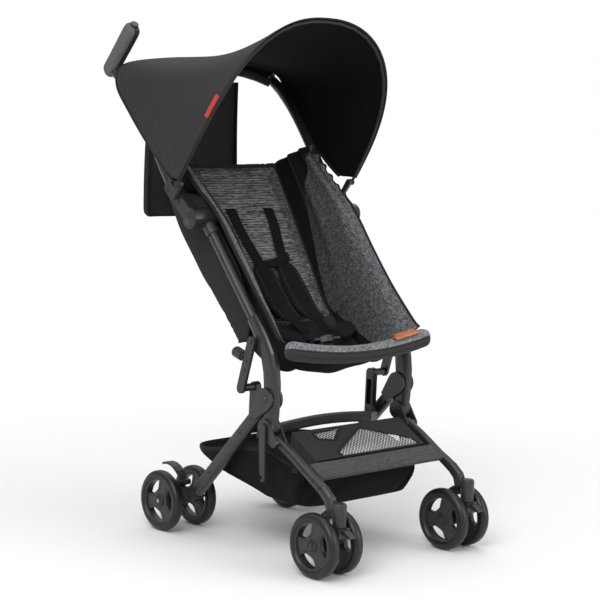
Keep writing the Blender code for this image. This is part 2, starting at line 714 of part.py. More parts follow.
def grip(tag, side):
    """The oval hand grip, bored for the tube below and for the fold button on top."""
    x = side * PUSH_X
    steps = ((-0.016, 0.62), (-0.010, 0.88), (0.0, 1.0), (0.035, 1.0), (0.070, 0.97),
             (GRIP_LENGTH - 0.014, 0.95),
             (GRIP_LENGTH - 0.005, 0.86), (GRIP_LENGTH, 0.70))
    route = [at(GRIP_BASE + GRIP_DIRECTION * t, x) for t, _ in steps]
    section = superellipse(GRIP_DEPTH / 2, GRIP_THICKNESS / 2, 14, 2.4)
    body = sweep(f"grip_{tag}", route, section, grip_foam(), scales=[(k, k) for _, k in steps])
    line = smooth_line(PUSH_ROUTE, 13)
    end, before = line[-1], line[-2]
    ahead = (end - before).normalized()
    low_end, high_end = at(end - ahead * 0.045, x), at(end + ahead * GAP, x)
    tube_hole = rod("hole", low_end, high_end, TUBE_RADIUS + 0.0005, grip_foam(), 14)
    top = GRIP_BASE + GRIP_DIRECTION * GRIP_LENGTH
    seat = top - GRIP_DIRECTION * (BUTTON_LENGTH - BUTTON_PROUD + 0.0045)
    mouth = at(top + GRIP_DIRECTION * 0.01, x)
    button_hole = rod("hole", at(seat, x), mouth, BUTTON_RADIUS + 0.0005, grip_foam(), 14)
    return cut(body, tube_hole, button_hole)


def fold_button(tag, side):
    """The sprung fold release in the end of a grip."""
    x = side * PUSH_X
    top = GRIP_BASE + GRIP_DIRECTION * (GRIP_LENGTH + BUTTON_PROUD)
    return rod(f"fold_button_{tag}", at(top - GRIP_DIRECTION * BUTTON_LENGTH, x), at(top, x), BUTTON_RADIUS,
               grip_foam(), 14)


def rear_bar():
    """The arched flat bar that ties the two push tubes."""
    reach = PUSH_X - TUBE_RADIUS - 12 * GAP
    route = []
    for i in range(13):
        x = mix(-reach, reach, i / 12)
        rise = BAR_RISE * (1 - (abs(x) / reach) ** 3)
        route.append((x, BAR_END.x + 0.5 * rise, BAR_END.y + rise))
    return sweep("rear_bar", route, superellipse(0.0095, 0.0040, 10, 3.0), black_plastic(), across=(0, 1, 0))


def rear_flap():
    """The cloth flap that hangs behind the rear bar, its side edges turned in."""
    half, fold = FLAP_HALF_WIDTH, 0.005
    rows = []
    side = ((0.0, 0.002), (0.58 * half, -0.002), (half - 0.002, 0.002), (half, fold),
            (half - 0.004, fold * 2))
    for i in range(9):
        z = mix(FLAP_Z[0], FLAP_Z[1], i / 8)
        y = FLAP_Y + 0.004 * math.sin(math.pi * i / 8)
        narrow = 0.010 * (8 - i) / 8 + 0.012 * max(0, i - 7)
        right = [Vector((x - narrow if x else 0, y - back, z)) for x, back in side]
        rows.append([Vector((-p.x, p.y, p.z)) for p in right[:0:-1]] + right)
    return grid_sheet("rear_flap", rows, 0.0016, black_fabric())


# Canopy

def hem_point(t):
    """The front hem, from the right tip at 0 over the crest to the left tip at 1."""
    angle = math.pi * t
    c, s = math.cos(angle), math.sin(angle)
    x = -CANOPY_HALF_WIDTH * math.copysign(abs(c) ** 0.862, c)
    height = CANOPY_HEIGHT * abs(s) ** 0.768
    y = CANOPY_PIVOT.x - height * math.sin(CANOPY_TILT) + CANOPY_BULGE * s**2
    return Vector((x, y, CANOPY_PIVOT.y + height * math.cos(CANOPY_TILT)))


CANOPY_REAR = ((0.9435, 0.1220, 0.7000), (0.9435, 0.1700, 0.7350), (0.9435, 0.2130, 0.7860),
               (0.9435, 0.2560, 0.8420), (0.9435, 0.2920, 0.8790), (0.9418, 0.3120, 0.8975),
               (0.9072, 0.3215, 0.9140), (0.7764, 0.3280, 0.9290), (0.4219, 0.3360, 0.9400),
               (0.0, 0.3380, 0.9420))


def canopy_grid(columns, rows, first=0.020):
    """Rows of points from the rear edge to the front hem, each from the right tip to the left."""
    half = [Vector((-share * CANOPY_HALF_WIDTH, y, z)) for share, y, z in CANOPY_REAR]
    rear = smooth_line(half + [Vector((-p.x, p.y, p.z)) for p in half[-2::-1]], 4 * columns)
    hem = smooth_line([hem_point(k / 48) for k in range(49)], 4 * columns)
    grid = []
    for i in range(rows):
        t = i / (rows - 1)
        row = []
        for j in range(columns):
            k = mix(first, 1 - first, j / (columns - 1)) * (4 * columns - 1)
            low, part = int(k), k - int(k)
            a = rear[low].lerp(rear[min(low + 1, 4 * columns - 1)], part)
            b = hem[low].lerp(hem[min(low + 1, 4 * columns - 1)], part)
            sag = -CANOPY_SAG * math.sin(math.pi * t**1.25) * math.sin(math.pi * j / (columns - 1)) ** 2
            row.append(a.lerp(b, t) + Vector((0, 0, sag)))
        grid.append(row)
    return grid


def canopy_fabric():
    return grid_sheet("canopy_fabric", canopy_grid(25, 9), CANOPY_THICKNESS, black_fabric())


def canopy_bow():
    """The thin bow inside the front hem, with an eye on the canopy's axis at each end."""
    grid = canopy_grid(25, 9)
    route = []
    inside = CANOPY_THICKNESS / 2 + BOW_RADIUS + 0.0006
    for j in range(25):
        hem, behind = grid[-1][j], grid[-2][j]
        spot = hem.lerp(behind, 0.08)
        over = grid[-1][min(j + 1, 24)] - grid[-1][max(j - 1, 0)]
        outward = over.cross(hem - behind).normalized()
        if outward.dot(hem - Vector((0, CANOPY_PIVOT.x, CANOPY_PIVOT.y))) < 0:
            outward = -outward
        route.append(spot - outward * inside)
    middle = sum(EYE_X) / 2
    eyes = [at(CANOPY_PIVOT, math.copysign(middle, p.x)) for p in (route[0], route[-1])]
    bow = sweep("canopy_bow", [eyes[0], *route, eyes[1]], circle((0, 0), BOW_RADIUS, 8), black_plastic(),
                across=(0, 1, 0))
    for side in (-1, 1):
        eye = circle(CANOPY_PIVOT, 0.0065, 12)
        union(bow, prism("eye", eye, side * EYE_X[0], side * EYE_X[1], black_plastic()))
    return bow


def canopy_clip(tag, side):
    """The clip on the handle's arm that the canopy bow turns on."""
    outline = hull(circle(CANOPY_PIVOT, 0.0062, 12) + circle((0.124, 0.669), 0.0050, 10))
    return prism(f"canopy_clip_{tag}", outline, side * CLIP_X[0], side * CLIP_X[1], black_plastic())


# Seat

SEAT_SPINE = ((0.2396, 0.7270), (0.1676, 0.6290), (0.1050, 0.5330), (0.0510, 0.4450), (0.0030, 0.3920),
              (-0.0450, 0.3520), (-0.0980, 0.3400), (-0.1400, 0.3660))
SEAT_PANEL = ((PANEL_TOP_HALF_WIDTH, 0.2366, 0.7270), (PANEL_TOP_HALF_WIDTH, 0.1656, 0.6290),
              (mix(PANEL_HALF_WIDTH, PANEL_TOP_HALF_WIDTH, 0.8), 0.1030, 0.5330),
              (mix(PANEL_HALF_WIDTH, PANEL_TOP_HALF_WIDTH, 0.4), 0.0490, 0.4480),
              (PANEL_HALF_WIDTH, 0.0050, 0.4060), (PANEL_HALF_WIDTH, -0.0480, 0.3750),
              (PANEL_HALF_WIDTH, -0.1000, 0.3640), (PANEL_HALF_WIDTH, -0.1430, 0.3800))
SEAT_WING = ((0.150, 0.188, 0.742), (0.157, 0.052, 0.642), (0.157, -0.008, 0.566), (0.157, -0.062, 0.496),
             (0.157, -0.100, 0.450), (0.157, -0.118, 0.424), (0.158, -0.134, 0.408), (0.164, -0.150, 0.404))
SEAT_EDGE = ((0.188, 0.171, 0.760), (0.189, 0.112, 0.702), (0.184, 0.046, 0.646), (0.181, -0.018, 0.567),
             (0.180, -0.072, 0.503), (0.181, -0.110, 0.462), (0.183, -0.132, 0.438), (0.184, -0.144, 0.426),
             (0.185, -0.152, 0.421))


def seat_grid(rows):
    """Rows from the backrest's top to the front, each from the right edge to the left."""
    spine = smooth_line([Vector((0, *p)) for p in SEAT_SPINE], rows)
    panel = smooth_line(SEAT_PANEL, rows)
    wing = smooth_line(SEAT_WING, rows)
    edge = smooth_line(SEAT_EDGE, rows)
    grid = []
    for i in range(rows):
        half = [edge[i], edge[i].lerp(wing[i], 0.55), wing[i], wing[i].lerp(panel[i], 0.5), panel[i],
                Vector((panel[i].x / 2, *(spine[i].lerp(panel[i], 0.35)).yz))]
        grid.append([Vector((-p.x, p.y, p.z)) for p in half] + [spine[i]] + half[::-1])
    return grid


def seat_sling():
    """The sling: quilted back panel, side wings and seat bottom in one cloth."""
    rows = SEAT_ROWS
    grid = seat_grid(rows)
    for i in range(1, 16, 2):
        for j in range(4, 9):
            grid[i][j] += Vector((0, -0.0012, 0.0009))
    return grid_sheet("seat_sling", grid, SEAT_THICKNESS, melange_fabric())


def seat_lip():
    """The padded roll along the seat's front edge."""
    reach = 0.188
    route = []
    scales = []
    for i in range(15):
        x = mix(-reach, reach, i / 14)
        across = 1 - (x / reach) ** 2
        route.append((x, -0.1735 - 0.0040 * across, 0.4040 - 0.0185 * across))
        taper = 0.62 if i in (0, 14) else 0.88 if i in (1, 13) else 1.0
        scales.append((taper, taper))
    section = superellipse(0.0195, 0.0150, 12, 2.6)
    return sweep("seat_lip", route, section, melange_fabric(), across=(0, 1, 0), scales=scales)


def seat_spot(x, row, lift):
    """A point on the sling at a row, lifted off the cloth."""
    grid = seat_grid(SEAT_ROWS)
    low, part = int(row), row - int(row)
    spots = []
    for near in (grid[low], grid[min(low + 1, SEAT_ROWS - 1)]):
        middle = len(near) // 2
        step = abs(x) / near[middle + 1].x
        spots.append(near[middle].lerp(near[middle + 1], step) if step <= 1 else near[middle + 1])
    spot = spots[0].lerp(spots[1], part)
    along = (grid[min(low + 1, SEAT_ROWS - 1)][6] - grid[max(low - 1, 0)][6]).normalized()
    front = Vector((0, along.z, -along.y))
    return Vector((x, spot.y, spot.z)) + front * lift


def harness_strap(tag, side):
    """A shoulder strap with its pad, down the backrest to the buckle."""
    upper = ((0.050, 5.5), (0.048, 7.5), (0.042, 9.5), (0.037, 11.5), (0.036, 13.5))
    route = [seat_spot(side * x, row, 0.0125) for x, row in upper]
    route += [Vector((side * 0.036, 0.0240, 0.4480)), Vector((side * 0.032, -0.0160, 0.4230)),
              Vector((side * 0.0290, -0.0500, 0.4090))]
    line = smooth_line(route, 13)
    widths = (0.46, 0.46, 0.46, 0.50, 0.84, 0.98, 1.0, 1.0, 0.98, 0.92, 0.84, 0.55, 0.46)
    scales = [(1.0 if 4 <= i <= 10 else 0.40, width) for i, width in enumerate(widths)]
    section = superellipse(0.0055, STRAP_PAD_HALF_WIDTH, 10, 3.0)
    return sweep(f"shoulder_strap_{tag}", line, section, black_fabric(), scales=scales)


STRAP_PAD_HALF_WIDTH = 0.0260
BUCKLE_PLACE = Vector((-0.0740, 0.3980))
BUCKLE_UP = Vector((0.34, 0.94)).normalized()


def buckle():
    """The central buckle with the hole for its release button."""
    low = BUCKLE_PLACE - BUCKLE_UP * 0.0050
    high = BUCKLE_PLACE + BUCKLE_UP * 0.0070
    section = superellipse(0.0155, 0.0190, 14, 3.0)
    body = sweep("harness_buckle", (at(low, 0), at(high - BUCKLE_UP * 0.002, 0), at(high, 0)), section,
                 black_plastic(), scales=[(1, 1), (1, 1), (0.88, 0.88)])
    line = smooth_line(((0, -0.1040, 0.3560), (0, -0.0960, 0.3740), (0, -0.0760, 0.3960)), 5)
    strap = sweep("strap", line, superellipse(0.0036, 0.0150, 10, 3.0), black_fabric())
    hole = rod("hole", at(BUCKLE_PLACE, 0), at(high + BUCKLE_UP * 0.01, 0), 0.0085, black_plastic(), 14)
    return cut(union(body, strap), hole)


def buckle_button():
    floor = BUCKLE_PLACE + BUCKLE_UP * 0.0030
    top = BUCKLE_PLACE + BUCKLE_UP * 0.0085
    return rod("buckle_button", at(floor, 0), at(top, 0), 0.0078, black_plastic(), 14)


COVER_FRONT = ((0.160, 0.110, 0.670), (0.160, 0.055, 0.600), (0.159, -0.002, 0.530), (0.153, -0.030, 0.455),
               (0.145, -0.012, 0.400))
COVER_CORNER = ((0.156, 0.232, 0.675), (0.155, 0.188, 0.600), (0.152, 0.129, 0.530), (0.146, 0.068, 0.455),
                (0.139, 0.020, 0.392))
COVER_BACK = ((0, 0.246, 0.675), (0, 0.204, 0.600), (0, 0.145, 0.530), (0, 0.082, 0.455), (0, 0.026, 0.390))


def rear_cover():
    """The plain cloth round the back of the seat, from one main tube to the other."""
    rows = 9
    front, corner, back = (smooth_line(line, rows) for line in (COVER_FRONT, COVER_CORNER, COVER_BACK))
    grid = []
    for i in range(rows):
        half = [front[i], front[i].lerp(corner[i], 0.5), corner[i],
                corner[i].lerp(back[i], 0.12) + Vector((0, 0.006, 0)),
                corner[i].lerp(back[i], 0.55) + Vector((0, 0.003, 0))]
        grid.append([Vector((-p.x, p.y, p.z)) for p in half] + [back[i]] + half[::-1])
    return grid_sheet("rear_cover", grid, 0.0020, black_fabric())


# Basket

def basket_ring(level, inset, count=24):
    """One loop round the basket: level 0 is the rim and 1 the floor."""
    ring = []
    front = mix(-0.216, -0.190, level**2)
    rear = mix(0.156, -0.050, level**1.3)
    half = 0.152 * (1 - 0.10 * level**2)
    for i in range(count):
        angle = 2 * math.pi * (i + 0.5) / count
        c, s = math.cos(angle), math.sin(angle)
        squared = 2 / 7.0
        u = math.copysign(abs(c) ** squared, c)
        v = math.copysign(abs(s) ** squared, s)
        y = (front + rear) / 2 + v * ((rear - front) / 2 - inset)
        rim = 0.166 + 0.026 * math.exp(-(((y + 0.02) / 0.08) ** 2))
        ring.append((u * (half - inset), y, mix(rim, BASKET_FLOOR_Z, level)))
    return ring


def basket():
    """The cloth basket, open on top, hung between the legs."""
    levels = (0.0, 0.35, 0.7, 0.94)
    middle = -0.117
    outer = [basket_ring(level, 0) for level in levels]
    floor = [[(x * 0.6, middle + (y - middle) * 0.6, BASKET_FLOOR_Z) for x, y, _ in outer[-1]]]
    inner = [[(x, y, z + (BASKET_WALL if level else 0)) for x, y, z in basket_ring(level, BASKET_WALL)]
             for level in levels]
    high = BASKET_FLOOR_Z + BASKET_WALL
    inner_floor = [[(x * 0.6, middle + (y - middle) * 0.6, high) for x, y, _ in inner[-1]]]
    return loft("basket", floor + outer[::-1] + inner + inner_floor, black_fabric())


def basket_net():
    """The mesh panel behind the footrest strip, with its open cells."""
    rear, front = Vector((-0.1620, 0.2290)), Vector((-0.2130, 0.1990))
    down = (front - rear).normalized()
    square = Vector((-down.y, down.x)) * 0.0008
    columns, lines = 12, 4
    frame_x, frame_d = 0.140, (front - rear).length
    bar = 0.0022

    def spot(x, d, lift):
        p = rear + down * d + square * lift
        return (x, p.x, p.y)

    xs = [mix(-frame_x, frame_x, k / columns) for k in range(columns + 1)]
    ds = [mix(0, frame_d, k / lines) for k in range(lines + 1)]
    points, faces = [], []
    cells = []
    for lift in (-1, 1):
        for i in range(columns):
            for j in range(lines):
                cells.append((i, j, lift))
    index = {}

    def vertex(x, d, lift):
        key = (round(x, 6), round(d, 6), lift)
        if key not in index:
            index[key] = len(points)
            points.append(spot(x, d, lift))
        return index[key]

    for i, j, lift in cells:
        x0, x1, d0, d1 = xs[i], xs[i + 1], ds[j], ds[j + 1]
        outer = [(x0, d0), (x1, d0), (x1, d1), (x0, d1)]
        inner = [(x0 + bar / 2, d0 + bar / 2), (x1 - bar / 2, d0 + bar / 2), (x1 - bar / 2, d1 - bar / 2),
                 (x0 + bar / 2, d1 - bar / 2)]
        for k in range(4):
            n = (k + 1) % 4
            quad = [vertex(*corner, lift) for corner in (outer[k], outer[n], inner[n], inner[k])]
            faces.append(tuple(quad if lift > 0 else quad[::-1]))
            if lift > 0:
                wall = ((inner[k], 1), (inner[n], 1), (inner[n], -1), (inner[k], -1))
                faces.append(tuple(vertex(*corner, level) for corner, level in wall))
    border = [(x, 0.0) for x in xs] + [(xs[-1], d) for d in ds[1:]] + [(x, ds[-1]) for x in xs[-2::-1]]
    border += [(xs[0], d) for d in ds[-2:0:-1]]
    for a, b in zip(border, border[1:] + border[:1]):
        faces.append((vertex(*a, 1), vertex(*a, -1), vertex(*b, -1), vertex(*b, 1)))
    return solid("basket_net", points, faces, light_net())


def build_side(tag, side, push_pivot, leg_pivot, front_pivot):
    main_tube(tag, side)
    hinge_housing(tag, side)
    side_member(tag, side)
    hang(push_pivot, push_tube(tag, side), grip(tag, side), canopy_clip(tag, side))
    grip_top = GRIP_BASE + GRIP_DIRECTION * GRIP_LENGTH
    button_pivot = pivot(f"fold_button_axis_{tag}", at(grip_top, side * PUSH_X))
    hang(button_pivot, fold_button(tag, side))
    hang(leg_pivot, rear_leg(tag, side), rear_housing(tag, side), rear_axle(tag, side))
    link_pivot = pivot(f"upper_link_axis_{tag}", at(STRUT_TOP, side * UPPER_LINK_X[0]))
    hang(link_pivot, upper_link(tag, side))
    foot_pivot = pivot(f"lower_link_axis_{tag}", at(strut_foot(), side * LOWER_LINK_X[1]))
    hang(foot_pivot, lower_link(tag, side))
    brake_axis = pivot(f"brake_axis_{tag}", at(BRAKE_PIVOT, side * 0.167))
    hang(brake_axis, brake_pedal(tag, side))
    hang(front_pivot, front_leg(tag, side), caster_housing(tag, side))
    latch_axis = pivot(f"latch_axis_{tag}", at(FRONT_PIVOT, side * LATCH_X[0]))
    hang(latch_axis, storage_latch(tag, side))
    stem_axis = pivot(f"caster_axis_{tag}", (side * CASTER_X, CASTER_Y, CASTER_LOW_Z))
    hang(stem_axis, caster_fork(tag, side))
    lock_axis = pivot(f"swivel_lock_axis_{tag}", at(LOCK_PIVOT, side * CASTER_X))
    hang(lock_axis, swivel_lock(tag, side))
    build_wheels(tag, side)


def build_wheels(tag, side):
    """The four wheels of one side, each on its own axle pivot."""
    axle_y = CASTER_Y + CASTER_TRAIL
    front = (CASTER_X - CASTER_SPREAD, CASTER_X + CASTER_SPREAD)
    for end, (inner, outer), y in (("front", front, axle_y), ("rear", REAR_WHEEL_X, REAR_AXLE_Y)):
        for place, x in (("inner", inner), ("outer", outer)):
            axis = pivot(f"{end}_{place}_axle_{tag}", (side * x, y, WHEEL_RADIUS))
            hang(axis, wheel(f"wheel_{end}_{place}_{tag}", side * x, y, tyre_rubber()))


def build():
    for old in list(bpy.data.objects):
        bpy.data.objects.remove(old, do_unlink=True)
    push_pivot = pivot("push_axis", at(HINGE, 0))
    leg_pivot = pivot("rear_leg_axis", at(REAR_PIVOT, 0))
    front_pivot = pivot("front_leg_axis", at(FRONT_PIVOT, 0))
    canopy_pivot = pivot("canopy_axis", at(CANOPY_PIVOT, 0))
    for tag, side in SIDES.items():
        build_side(tag, side, push_pivot, leg_pivot, front_pivot)
    hang(push_pivot, rear_bar(), rear_flap())
    hang(canopy_pivot, canopy_bow(), canopy_fabric())
    band_pivot = pivot("cross_band_axis", at(strut_foot(), 0))
    hang(band_pivot, cross_band())
    hang(front_pivot, footrest())
    knob_pivot = pivot("lock_knob_axis", at(STRUT_TOP.lerp(STRUT_KNEE, 0.38), -0.190))
    hang(knob_pivot, lock_knob())
    seat_sling()
    seat_lip()
    for tag, side in SIDES.items():
        harness_strap(tag, side)
    rear_cover()
    buckle()
    button_axis = pivot("buckle_button_axis", at(BUCKLE_PLACE, 0))
    hang(button_axis, buckle_button())
    basket()
    basket_net()
    for top in bpy.data.objects:
        if top.parent is None:
            top.location.y -= CENTRE_Y


build()
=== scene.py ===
"""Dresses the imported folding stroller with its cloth, wheels, fittings and finishes."""
import json
import math

import bmesh
import bpy
import numpy as np
from bpy.props import FloatProperty, FloatVectorProperty, IntProperty, PointerProperty
from bpy.types import Operator, Panel, PropertyGroup
from mathutils import Matrix, Vector
from mathutils.bvhtree import BVHTree

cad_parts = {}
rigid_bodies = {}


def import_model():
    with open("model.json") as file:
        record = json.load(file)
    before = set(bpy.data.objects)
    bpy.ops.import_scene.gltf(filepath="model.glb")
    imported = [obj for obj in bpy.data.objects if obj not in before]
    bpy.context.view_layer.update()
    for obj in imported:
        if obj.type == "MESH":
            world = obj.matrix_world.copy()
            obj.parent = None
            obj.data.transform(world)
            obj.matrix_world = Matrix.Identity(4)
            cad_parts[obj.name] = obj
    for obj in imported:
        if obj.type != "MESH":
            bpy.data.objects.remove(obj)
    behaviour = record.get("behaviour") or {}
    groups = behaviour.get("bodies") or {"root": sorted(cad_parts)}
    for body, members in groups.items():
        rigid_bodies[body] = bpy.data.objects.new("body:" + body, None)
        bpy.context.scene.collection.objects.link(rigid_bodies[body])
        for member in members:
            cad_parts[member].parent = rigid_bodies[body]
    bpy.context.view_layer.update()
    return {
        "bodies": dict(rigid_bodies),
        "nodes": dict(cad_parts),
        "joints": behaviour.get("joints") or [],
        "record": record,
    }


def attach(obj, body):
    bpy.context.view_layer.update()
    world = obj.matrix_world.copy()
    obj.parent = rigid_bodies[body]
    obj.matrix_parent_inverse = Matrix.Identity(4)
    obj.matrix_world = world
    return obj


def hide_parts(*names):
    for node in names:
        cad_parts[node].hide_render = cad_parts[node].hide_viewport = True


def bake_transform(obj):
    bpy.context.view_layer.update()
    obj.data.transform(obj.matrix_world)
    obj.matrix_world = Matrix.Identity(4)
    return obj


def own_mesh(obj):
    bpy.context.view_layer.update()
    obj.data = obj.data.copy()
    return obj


bl_info = {
    "name": "Folding Stroller",
    "version": (1, 0, 0),
    "blender": (4, 5, 0),
    "location": "3D View > Sidebar > Stroller",
    "description": "Cloth, wheels, fittings and finishes for a compact folding stroller",
    "category": "Add Mesh",
}

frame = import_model()

# Every length below is drawn in metres from a point this far in front of the row's origin
CENTRE_Y = 0.0153
SIDES = {"r": -1, "l": 1}

# Wheels
WHEEL_RADIUS = 0.0605
WHEEL_WIDTH = 0.0220
RIM_RADIUS = 0.0455
SPOKES, WINDOW_TURN = 3, math.radians(50)
REAR_AXLE_Y = 0.164
REAR_WHEEL_X = (0.1243, 0.2095)
CASTER_X, CASTER_Y, CASTER_TRAIL, CASTER_SPREAD = 0.1716, -0.3094, 0.0326, 0.0294

# Frame
HINGE = Vector((0.0815, 0.631))
HINGE_OUTER_X = 0.2196
REAR_PIVOT = Vector((-0.115, 0.304))
REAR_LEG_FOOT = Vector((0.0929, 0.0877))
PUSH_X = 0.208
GRIP_BASE = Vector((0.357, 0.9175))
GRIP_DIRECTION = Vector((-0.6575, 0.7534)).normalized()
GRIP_LENGTH = 0.110
GRIP_HALF = (0.0168, 0.0148)

# Canopy: the rear edge runs from the lower right corner to the middle
CANOPY_PIVOT = Vector((0.1045, 0.6956))
CANOPY_HALF_WIDTH, CANOPY_HEIGHT = 0.237, 0.397
CANOPY_TILT, CANOPY_BULGE, CANOPY_SAG = 0.616, 0.071, 0.029
TAB_SPAN = (0.150, 0.196)
CANOPY_REAR = ((0.2236, 0.1220, 0.7000), (0.2236, 0.1720, 0.7350), (0.2236, 0.2300, 0.7860),
               (0.2236, 0.2850, 0.8420), (0.2236, 0.3130, 0.8740), (0.2232, 0.3200, 0.8975),
               (0.2150, 0.3240, 0.9140), (0.1840, 0.3290, 0.9290), (0.1000, 0.3360, 0.9400),
               (0.0, 0.3380, 0.9420))

# Seat: lines from the top down, of the panel's middle and side, the wing and its edge, and the rear cover
PANEL_HALF = 0.120
SEAT_BASE_WALL, REAR_COVER_WALL, LEATHER_WALL = 0.0042, 0.0014, 0.0018
SEAT_SPINE = ((0, 0.2396, 0.7270), (0, 0.1676, 0.6290), (0, 0.1050, 0.5330), (0, 0.0510, 0.4450),
              (0, 0.0030, 0.3920), (0, -0.0450, 0.3520), (0, -0.0980, 0.3400), (0, -0.1400, 0.3660))
SEAT_PANEL = ((0.145, 0.2366, 0.7270), (0.145, 0.1656, 0.6290), (0.140, 0.1030, 0.5330),
              (0.130, 0.0490, 0.4480), (0.120, 0.0050, 0.4060), (0.120, -0.0480, 0.3750),
              (0.120, -0.1000, 0.3640), (0.120, -0.1430, 0.3800))
SEAT_WING = ((0.168, 0.203, 0.757), (0.157, 0.052, 0.642), (0.157, -0.008, 0.566), (0.157, -0.062, 0.496),
             (0.157, -0.100, 0.450), (0.157, -0.118, 0.424), (0.158, -0.134, 0.408), (0.164, -0.150, 0.404))
SEAT_EDGE = ((0.188, 0.176, 0.772), (0.189, 0.112, 0.702), (0.184, 0.046, 0.646), (0.181, -0.018, 0.567),
             (0.180, -0.072, 0.503), (0.181, -0.110, 0.462), (0.183, -0.132, 0.438), (0.184, -0.144, 0.426),
             (0.185, -0.152, 0.421))
COVER_FRONT = ((0.160, 0.110, 0.670), (0.160, 0.055, 0.600), (0.159, -0.002, 0.530), (0.153, -0.030, 0.455),
               (0.145, -0.012, 0.400))
COVER_CORNER = ((0.156, 0.232, 0.675), (0.155, 0.188, 0.600), (0.152, 0.129, 0.530), (0.146, 0.068, 0.455),
                (0.139, 0.020, 0.392))
COVER_BACK = ((0, 0.246, 0.675), (0, 0.204, 0.600), (0, 0.145, 0.530), (0, 0.082, 0.455), (0, 0.026, 0.390))
BUCKLE_PLACE = Vector((-0.0740, 0.3980))
BUCKLE_UP = Vector((0.34, 0.94)).normalized()

# Basket
BASKET_FLOOR_Z = 0.103
BASKET_WALL, COVER_WALL = 0.0016, 0.0012

# The photograph's camera: turn, rise, distance, roll and focal length in pixels of a 600 pixel frame
VIEW_TURN, VIEW_RISE, VIEW_DISTANCE, VIEW_ROLL = math.radians(-42.4692), math.radians(6.5684), 3.3408, 0.0284
VIEW_FOCAL, VIEW_TARGET_Z = 1682.81, 0.469
VIEW_PIXELS, SENSOR = 600, 36


# Curves and outlines

def mix(a, b, t):
    return a + (b - a) * t


def smooth_line(points, count):
    """Points evenly spread along a smooth curve through the given ones."""
    points = [Vector(p) for p in points]
    ends = [2 * points[0] - points[1], *points, 2 * points[-1] - points[-2]]
    dense = []
    for i in range(len(points) - 1):
        a, b, c, d = ends[i : i + 4]
        for k in range(16):
            t = k / 16
            dense.append(0.5 * (2 * b + (c - a) * t + (2 * a - 5 * b + 4 * c - d) * t**2
                                + (3 * b - a - 3 * c + d) * t**3))
    dense.append(points[-1])
    lengths = [0.0]
    for a, b in zip(dense, dense[1:]):
        lengths.append(lengths[-1] + (b - a).length)
    line = []
    k = 0
    for i in range(count):
        target = lengths[-1] * i / (count - 1)
        while k < len(dense) - 2 and lengths[k + 1] < target:
            k += 1
        span = max(1e-9, lengths[k + 1] - lengths[k])
        line.append(dense[k].lerp(dense[k + 1], min(1.0, (target - lengths[k]) / span)))
    return line


def circle(radius, count):
    turn = 2 * math.pi / count
    return [(radius * math.cos(turn * i), radius * math.sin(turn * i)) for i in range(count)]


def superellipse(half_a, half_b, count, power=2.0):
    shape = []
    for i in range(count):
        angle = 2 * math.pi * (i + 0.5) / count
        c, s = math.cos(angle), math.sin(angle)
        shape.append((half_a * math.copysign(abs(c) ** (2 / power), c),
                      half_b * math.copysign(abs(s) ** (2 / power), s)))
    return shape


def at(point, x):
    return Vector((x, point[0], point[1]))


# Meshes

def link_object(name, data):
    made = bpy.data.objects.new(name, data)
    bpy.context.scene.collection.objects.link(made)
    return made


def shade(mesh, sharp=40):
    """Smooth shading, but for edges sharper than an angle in degrees."""
    mesh.shade_smooth()
    mesh.set_sharp_from_angle(angle=math.radians(sharp))


def rework(mesh, *changes):
    """Puts a mesh through changes of its bmesh."""
    work = bmesh.new()
    work.from_mesh(mesh)
    for change in changes:
        change(work)
    work.to_mesh(mesh)
    work.free()


def face_outwards(work):
    bmesh.ops.recalc_face_normals(work, faces=work.faces)


def tube_faces(loops, count, closed=False):
    """Faces round a row of loops of points, which closes on itself or is capped at both ends."""
    faces = []
    for r in range(loops if closed else loops - 1):
        n = (r + 1) % loops
        for i in range(count):
            j = (i + 1) % count
            faces.append((r * count + i, r * count + j, n * count + j, n * count + i))
    if not closed:
        faces.append(tuple(range(count))[::-1])
        faces.append(tuple((loops - 1) * count + i for i in range(count)))
    return faces


def mesh_object(name, points, faces, *finishes, smooth=True, recalc=True):
    """A mesh object whose place is in its points."""
    mesh = bpy.data.meshes.new(name)
    mesh.from_pydata([tuple(p) for p in points], [], faces)
    if recalc:
        rework(mesh, face_outwards)
    for finish in finishes:
        mesh.materials.append(finish)
    if smooth:
        shade(mesh)
    return link_object(name, mesh)


def thicken(made, wall):
    """Gives a surface a wall, half of it on each side."""
    change = made.modifiers.new("Wall", "SOLIDIFY")
    change.thickness = wall
    change.offset = 0
    return change


def settle(made, body, replaced=()):
    """Moves a finished mesh into the row's frame and hangs it on its body."""
    made.data.transform(Matrix.Translation((0, -CENTRE_Y, 0)))
    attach(made, body)
    if replaced:
        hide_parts(*replaced)
    return made


def trim(made, body="frame"):
    """Hangs a black cloth trim on its body."""
    return settle(made, body)


def join(name, parts):
    """One object from several, each keeping its finishes."""
    with bpy.context.temp_override(active_object=parts[0], object=parts[0], selected_objects=parts,
                                   selected_editable_objects=parts):
        bpy.ops.object.join()
    parts[0].name = name
    parts[0].data.name = name
    return parts[0]


def apply_all(made):
    """Turns an object's modifiers into its plain mesh."""
    graph = bpy.context.evaluated_depsgraph_get()
    plain = bpy.data.meshes.new_from_object(made.evaluated_get(graph))
    made.modifiers.clear()
    made.data = plain
    return made


def soften(made, levels=1):
    change = made.modifiers.new("Soften", "SUBSURF")
    change.levels = change.render_levels = levels
    return apply_all(made)


def sweep(name, route, section, *finishes, across=(1, 0, 0), scales=None):
    """A solid that carries a section along a route."""
    route = [Vector(p) for p in route]
    across = Vector(across)
    points = []
    for i, p in enumerate(route):
        ahead = (route[min(i + 1, len(route) - 1)] - route[max(i - 1, 0)]).normalized()
        side = (across - ahead * across.dot(ahead)).normalized()
        up = side.cross(ahead)
        grow_a, grow_b = scales[i] if scales else (1, 1)
        points += [p + up * a * grow_a + side * b * grow_b for a, b in section]
    return mesh_object(name, points, tube_faces(len(route), len(section)), *finishes)


